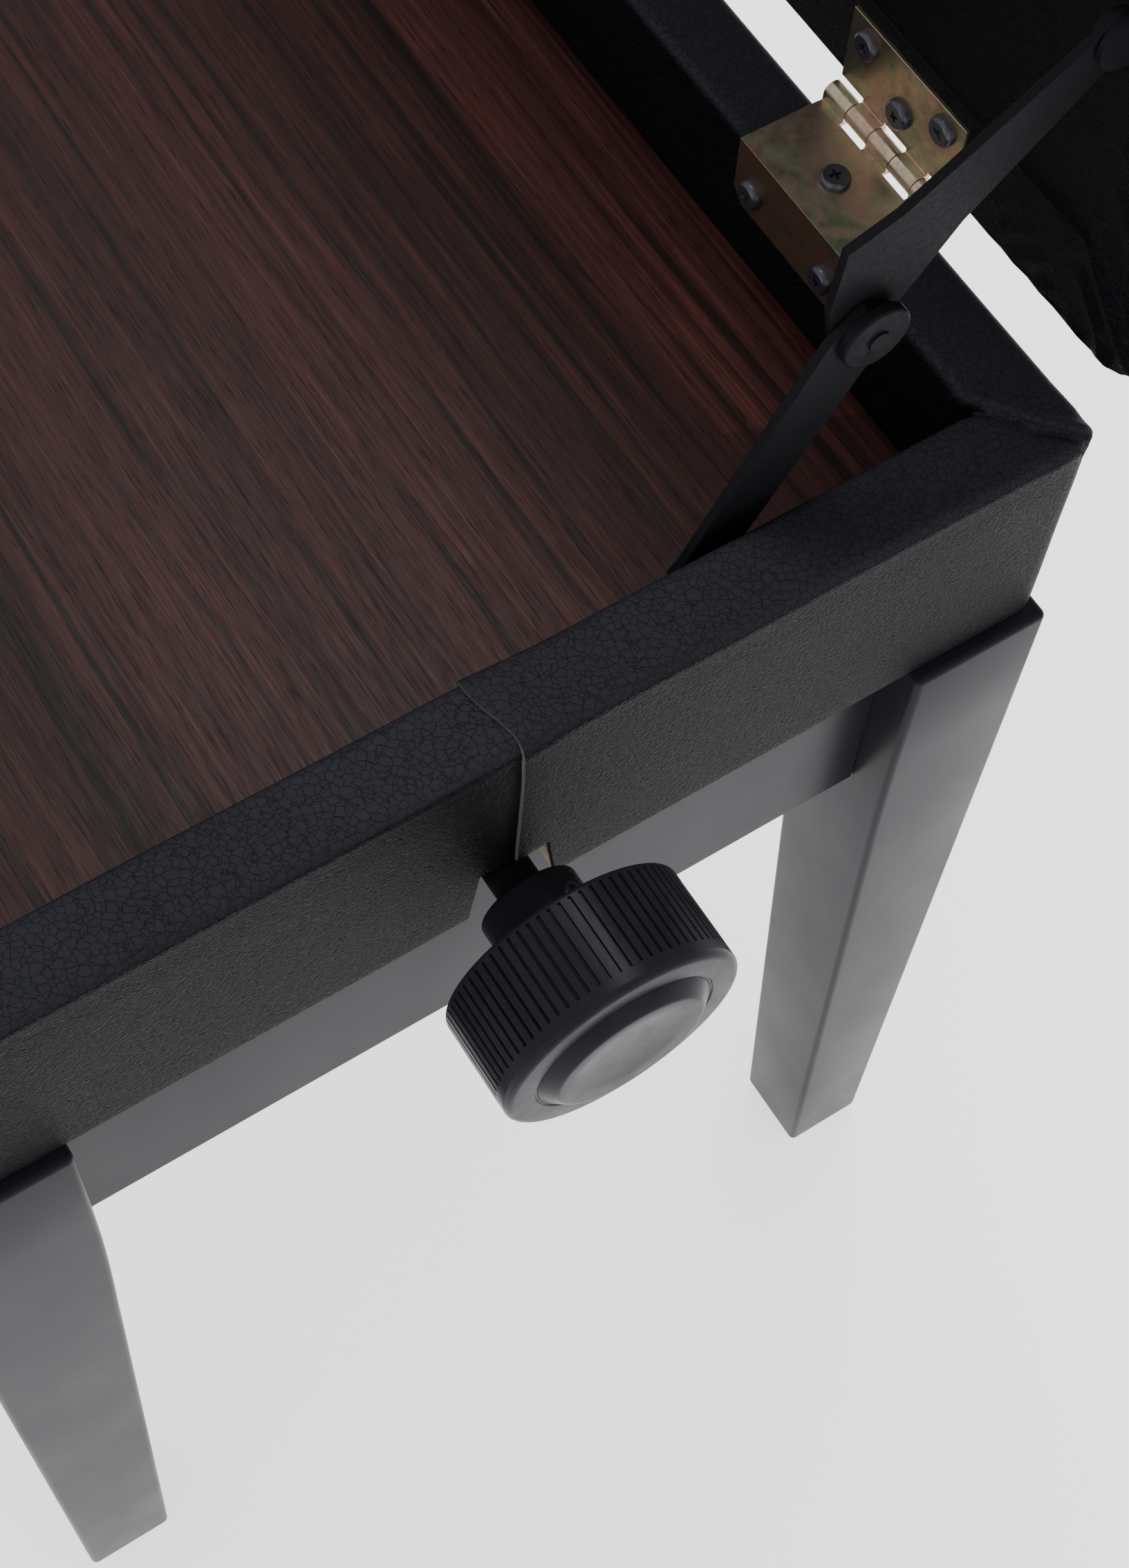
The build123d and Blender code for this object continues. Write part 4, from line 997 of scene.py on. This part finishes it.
def screws_mesh(node):
    """Phillips screws wherever the CAD node has one."""
    source = copy_of(node)
    mesh = bmesh.new()
    for index, group in enumerate(islands(source)):
        seat, facing, radius, height = screw_pose(group)
        single = bmesh.new()
        phillips_head(single, radius, height)
        shank = bmesh.ops.create_cone(single, cap_ends=True, segments=16, radius1=1.3 * MM,
                                      radius2=1.7 * MM, depth=7 * MM)["verts"]
        bmesh.ops.translate(single, vec=(0, 0, -3.5 * MM), verts=shank)
        turn = Matrix.Rotation(math.radians(20 + 37 * index), 4, "Z")
        stand = facing.to_track_quat("Z", "Y").to_matrix().to_4x4()
        bmesh.ops.transform(single, matrix=Matrix.Translation(seat) @ stand @ turn,
                            verts=single.verts)
        data = bpy.data.meshes.new("one_screw")
        single.to_mesh(data)
        single.free()
        mesh.from_mesh(data)
        bpy.data.meshes.remove(data)
    source.free()
    bmesh.ops.recalc_face_normals(mesh, faces=mesh.faces)
    return mesh


class BENCH_OT_screws(bpy.types.Operator):
    """Make every visible screw with a cross recess"""
    bl_idname = "bench.screws"
    bl_label = "Screws"

    def execute(self, context):
        for node in ("base_screws", "upper_rail_screws", "box_hinge_screws", "lid_screws"):
            finished(f"phillips_{node}", screws_mesh(node), body_of(node), slot_of(node),
                     [node], 32)
        return {"FINISHED"}


# ---------------------------------------------------------------- metalwork

def thread_mesh(sign):
    """Helical ridge of one threaded end of the spindle."""
    low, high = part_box("nut_bar_right")
    start = low.x - 22 * MM
    pitch = 2 * MM
    turns = round((high.x + 14 * MM - start) / pitch)
    root, crest = 5.6 * MM, 6.35 * MM
    turn_steps = 18
    mesh = bmesh.new()
    points = [(start - 0.45 * pitch, root), (start, crest), (start + 0.45 * pitch, root)]
    chain = [mesh.verts.new((x, MIDDLE_Y + r, SPINDLE_Z)) for x, r in points]
    edges = [mesh.edges.new(pair) for pair in zip(chain, chain[1:])]
    bmesh.ops.spin(mesh, geom=[*chain, *edges], cent=(0, MIDDLE_Y, SPINDLE_Z), axis=(1, 0, 0),
                   dvec=(pitch / turn_steps, 0, 0), angle=math.tau * turns,
                   steps=turns * turn_steps, use_merge=False, use_duplicate=False)
    bmesh.ops.recalc_face_normals(mesh, faces=mesh.faces)
    return mesh if sign > 0 else mirrored(mesh)


class BENCH_OT_lift(bpy.types.Operator):
    """Finish the screw lift: spindle threads, nut bars, scissor arms, rails and bearings"""
    bl_idname = "bench.lift"
    bl_label = "Screw lift"

    def execute(self, context):
        edge = settings()[1].plate_edge
        for node in ("arm_a_front", "arm_a_rear", "arm_b_front", "arm_b_rear",
                     "lower_rail_front", "lower_rail_rear", "upper_rail_front",
                     "upper_rail_rear", "bearing_brackets", "nut_bar_left", "nut_bar_right",
                     "arm_a_rivets", "arm_b_rivets", "shaft_collars", "bearing_bushes",
                     "leg_bolts_and_nuts"):
            eased(node, edge)
        for end, sign in ENDS.items():
            finished(f"spindle_thread_{end}", thread_mesh(sign), "spindle_body", "zinc_steel")
        return {"FINISHED"}


class BENCH_OT_hinges(bpy.types.Operator):
    """Finish the hinge leaves"""
    bl_idname = "bench.hinges"
    bl_label = "Hinges"

    def execute(self, context):
        for end in ENDS:
            eased(f"hinge_box_leaf_{end}", 0.45 * MM)
            eased(f"hinge_lid_leaf_{end}", 0.2 * MM)
        return {"FINISHED"}


class BENCH_OT_stays(bpy.types.Operator):
    """Finish the folding lid stays"""
    bl_idname = "bench.stays"
    bl_label = "Lid stays"

    def execute(self, context):
        edge = settings()[1].plate_edge
        for end in ENDS:
            eased(f"stay_lower_arm_{end}", edge)
            eased(f"stay_upper_arm_{end}", edge)
            eased(f"stay_disc_{end}", edge)
        eased("stay_studs", edge)
        eased("stay_brackets", edge)
        return {"FINISHED"}


# ---------------------------------------------------------------- lid

def lid_frame():
    """Closed lid's corner points, worked back from its stored open place."""
    low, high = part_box("seat_cover")
    thick = high.y - low.y
    bottom = LID_PIN.z + (low.y - LID_PIN.y)
    rear = LID_PIN.y - (low.z - LID_PIN.z)
    front = LID_PIN.y - (high.z - LID_PIN.z)
    return Vector((low.x, front, bottom)), Vector((high.x, rear, bottom + thick))


def open_lid(mesh):
    """Turn a closed lid piece to the stored open place."""
    bmesh.ops.rotate(mesh, cent=LID_PIN, matrix=Matrix.Rotation(-math.pi / 2, 3, "X"),
                     verts=mesh.verts)
    return mesh


def pad_form():
    """Seat form, a little under size, with its long edges rounded."""
    low, high = lid_frame()
    mesh = bmesh.new()
    gap, base_gap, top_gap = 1.0 * MM, 0.6 * MM, 5 * MM
    add_block(mesh, low + Vector((gap, gap, base_gap)), high - Vector((gap, gap, top_gap)))
    round_edges(mesh, [edge for edge in mesh.edges if upright(edge)], 15 * MM, 6)
    top = high.z - top_gap
    round_edges(mesh, [edge for edge in mesh.edges if level(edge, top)], 13 * MM, 6)
    base = [edge for edge in mesh.edges if level(edge, low.z + base_gap)]
    round_edges(mesh, base, 3 * MM, 3)
    return mesh


def swell(made, low):
    """Let cloth with air pressure swell the seat's top and sides, and settle the result."""
    limit = settings()[1].seat_swell
    rest = [vertex.co.copy() for vertex in made.data.vertices]
    pinned = made.vertex_groups.new(name="held")
    held = [vertex.index for vertex in made.data.vertices if vertex.co.z < low.z + 4 * MM]
    pinned.add(held, 1.0, "REPLACE")
    cloth = made.modifiers.new("cloth", "CLOTH")
    cloth.settings.use_pressure = True
    cloth.settings.uniform_pressure_force = 4.0
    cloth.settings.vertex_group_mass = "held"
    cloth.settings.effector_weights.gravity = 0.0
    scene = bpy.context.scene
    first, last = 1, 20
    scene.frame_start, scene.frame_end = first, last
    for step in range(first, last + 1):
        scene.frame_set(step)
    settled = made.evaluated_get(bpy.context.evaluated_depsgraph_get())
    places = [vertex.co.copy() for vertex in settled.data.vertices]
    made.modifiers.remove(cloth)
    made.vertex_groups.clear()
    for vertex, start, end in zip(made.data.vertices, rest, places):
        move = end - start
        if move.length > limit:
            move *= limit / move.length
        vertex.co = start + move
    scene.frame_set(first)


def crowned(place, low, high):
    """Gentle crown of the seat, highest in the middle, with soft hollows at the edges."""
    x = abs(place.x) / high.x
    y = abs(place.y - (low.y + high.y) / 2) / ((high.y - low.y) / 2)
    share = smooth_step((place.z - low.z) / (high.z - low.z))
    crown = (1 - x ** 4) * (1 - y ** 4)
    return share * crown


def pull_marks(place, low, high):
    """Shallow tucks where the cover is drawn under the corners."""
    x = high.x - abs(place.x)
    y = (high.y - low.y) / 2 - abs(place.y - (low.y + high.y) / 2)
    near = math.exp(-((x + y) / (38 * MM)) ** 2)
    turn = math.atan2(x - 15 * MM, y - 15 * MM)
    height = 1 - smooth_step((place.z - low.z) / (32 * MM))
    return near * height * math.cos(turn * 16)


def make_seat():
    """Padded seat cover."""
    low, high = lid_frame()
    form = pad_form()
    made = object_of("padded_seat_cover", form)
    remesh = made.modifiers.new("even mesh", "REMESH")
    remesh.mode = "VOXEL"
    remesh.voxel_size = 5 * MM
    graph = bpy.context.evaluated_depsgraph_get()
    even = bpy.data.meshes.new_from_object(made.evaluated_get(graph))
    made.modifiers.remove(remesh)
    made.data = even
    swell(made, low)
    mesh = bmesh.new()
    mesh.from_mesh(made.data)
    bpy.data.objects.remove(made)
    mesh.normal_update()
    for vertex in mesh.verts:
        if vertex.co.z < low.z + 2 * MM:
            continue
        vertex.co.z += 2.2 * MM * crowned(vertex.co, low, high)
        vertex.co += vertex.normal * 0.7 * MM * pull_marks(vertex.co, low, high)
    for vertex in mesh.verts:
        vertex.co.z = min(max(vertex.co.z, low.z + 0.6 * MM), high.z + 3 * MM)
        vertex.co.x = min(max(vertex.co.x, low.x - 3 * MM), high.x + 3 * MM)
        vertex.co.y = min(max(vertex.co.y, low.y - 3 * MM), high.y + 2 * MM)
    seat = finished("padded_seat_cover", open_lid(mesh), "lid", "leatherette",
                    ["seat_cover", "seat_foam", "seat_board"], 60)
    smoother = seat.modifiers.new("smooth seat", "SUBSURF")
    smoother.levels = smoother.render_levels = 1


def border_mesh():
    """Cover's edge folded under the lid: a flat ring with mitred, tucked corners."""
    low, high = lid_frame()
    width, gap, thick = 31 * MM, 4 * MM, 1.2 * MM
    mesh = bmesh.new()
    add_block(mesh, (low.x + gap, low.y + gap, low.z),
              (high.x - gap, high.y - gap, low.z + thick))
    outer = [edge for edge in mesh.edges if upright(edge)]
    bottom, top = end_face(mesh, -1), end_face(mesh, 1)
    for face in (bottom, top):
        bmesh.ops.inset_region(mesh, faces=[face], thickness=width - gap, depth=0,
                               use_even_offset=True)
    bottom_edges = sorted(bottom.edges, key=lambda edge: tuple(centre(edge.verts)))
    top_edges = sorted(top.edges, key=lambda edge: tuple(centre(edge.verts)))
    bmesh.ops.delete(mesh, geom=[bottom, top], context="FACES_ONLY")
    bmesh.ops.bridge_loops(mesh, edges=[*bottom_edges, *top_edges])
    round_edges(mesh, [edge for edge in outer if edge.is_valid], 14 * MM, 5)
    cut_planes(mesh, 0, steps_between(low.x, high.x, 5 * MM))
    cut_planes(mesh, 1, steps_between(low.y, high.y, 5 * MM))
    middle = (low.y + high.y) / 2
    for vertex in mesh.verts:
        if vertex.co.z > low.z + thick / 2:
            continue
        x = high.x - abs(vertex.co.x)
        y = (high.y - low.y) / 2 - abs(vertex.co.y - middle)
        across = (x - y) / MM
        tuck = math.exp(-((x + y) / (60 * MM)) ** 2)
        ripple = noise.noise(vertex.co * 40) * 0.35
        folds = 0.5 * math.cos(across * 0.55) * tuck
        vertex.co.z -= (0.35 + folds + ripple * (0.4 + tuck)) * MM * 0.8
    bmesh.ops.recalc_face_normals(mesh, faces=mesh.faces)
    return mesh


class BENCH_OT_lid(bpy.types.Operator):
    """Make the padded seat, its folded border and the bumpers"""
    bl_idname = "bench.lid"
    bl_label = "Padded lid"

    def execute(self, context):
        make_seat()
        finished("folded_cover_border", open_lid(border_mesh()), "lid", "leatherette")
        eased("lid_bumpers", 0.3 * MM)
        return {"FINISHED"}


# ---------------------------------------------------------------- finishes on CAD nodes

class BENCH_OT_finishes(bpy.types.Operator):
    """Give every CAD node that is still shown its own finish"""
    bl_idname = "bench.finishes"
    bl_label = "Finishes"

    def execute(self, context):
        for node, made in frame["nodes"].items():
            if made.hide_render:
                continue
            made.data.materials.clear()
            made.data.materials.append(finish_for(slot_of(node)))
        return {"FINISHED"}


# ---------------------------------------------------------------- stage

def area_light(name, place, target, size, power, tint=(1, 1, 1)):
    """Soft rectangular light aimed at a point."""
    lamp = bpy.data.lights.new(name, "AREA")
    lamp.shape = "RECTANGLE"
    lamp.size, lamp.size_y = size
    lamp.energy = power
    lamp.color = tint
    made = bpy.data.objects.new(name, lamp)
    made.location = place
    made.rotation_euler = (Vector(target) - Vector(place)).to_track_quat("-Z", "Y").to_euler()
    bpy.context.scene.collection.objects.link(made)


def floor_finish(tone):
    """Pale seamless paper."""
    finish = Finish("studio_floor", tone, 0.9, Emission_Color=(1, 1, 1, 1), Emission_Strength=1.35)
    paper = finish.noise(finish.place, 400, 3)
    finish.wire("Normal", finish.bump(paper, 0.05 * MM, 0.2))
    return finish.material


class BENCH_OT_stage(bpy.types.Operator):
    """Set the floor, the soft lights and the camera"""
    bl_idname = "bench.stage"
    bl_label = "Stage"

    def execute(self, context):
        scene = context.scene
        mesh = bmesh.new()
        bmesh.ops.create_grid(mesh, x_segments=4, y_segments=4, size=25.0)
        ground = object_of("studio_floor", mesh)
        ground.data.materials.append(floor_finish(settings()[0].floor))
        world = bpy.data.worlds.new("studio")
        world.use_nodes = True
        sky = world.node_tree.nodes["Background"].inputs
        sky["Color"].default_value = (0.93, 0.94, 0.96, 1)
        sky["Strength"].default_value = 1.0
        scene.world = world
        target = (0.15, MIDDLE_Y, 0.38)
        area_light("overhead", (-0.45, 0.50, 2.3), target, (0.9, 0.7), 22)
        area_light("side", (2.0, 0.4, 0.7), target, (1.4, 1.0), 4)
        area_light("front", (0.6, -1.9, 1.0), target, (1.4, 0.9), 5, (0.90, 0.94, 1.0))
        lens = bpy.data.cameras.new("camera")
        lens.lens = 61.36
        lens.sensor_width = 36
        camera = bpy.data.objects.new("camera", lens)
        place = Vector((0.49465, MIDDLE_Y - 0.15432, 0.94379))
        forward = Vector((-0.36456, 0.27702, -0.88902)).normalized()
        right = Vector((0.53714, 0.84244, 0.04224))
        up = right.cross(forward).normalized()
        right = forward.cross(up)
        turn = Matrix((right, up, -forward)).transposed()
        camera.matrix_world = Matrix.Translation(place) @ turn.to_4x4()
        scene.collection.objects.link(camera)
        scene.camera = camera
        return {"FINISHED"}


# ---------------------------------------------------------------- panel and registration

OPERATORS = (
    BENCH_OT_box_cover, BENCH_OT_legs, BENCH_OT_woodwork, BENCH_OT_knobs, BENCH_OT_screws,
    BENCH_OT_lift, BENCH_OT_hinges, BENCH_OT_stays, BENCH_OT_lid, BENCH_OT_finishes,
    BENCH_OT_stage,
)


class BENCH_PT_panel(bpy.types.Panel):
    """Sidebar panel with the bench's sizes, colours and pieces"""
    bl_label = "Piano bench"
    bl_idname = "BENCH_PT_panel"
    bl_space_type = "VIEW_3D"
    bl_region_type = "UI"
    bl_category = "Bench"

    def draw(self, context):
        for group in (context.scene.bench_sizes, context.scene.bench_colours):
            for name in group.__annotations__:
                self.layout.prop(group, name)
        for operator in OPERATORS:
            self.layout.operator(operator.bl_idname)


CLASSES = (BenchColours, BenchSizes, *OPERATORS, BENCH_PT_panel)


def register():
    """Register the classes and hang the settings on the scene."""
    for item in CLASSES:
        bpy.utils.register_class(item)
    bpy.types.Scene.bench_colours = bpy.props.PointerProperty(type=BenchColours)
    bpy.types.Scene.bench_sizes = bpy.props.PointerProperty(type=BenchSizes)


def unregister():
    """Take the settings and the classes away."""
    del bpy.types.Scene.bench_sizes
    del bpy.types.Scene.bench_colours
    for item in reversed(CLASSES):
        bpy.utils.unregister_class(item)


def main():
    """Build every piece in order."""
    register()
    for operator in OPERATORS:
        group, name = operator.bl_idname.split(".")
        getattr(getattr(bpy.ops, group), name)()


if __name__ == "__main__":
    main()
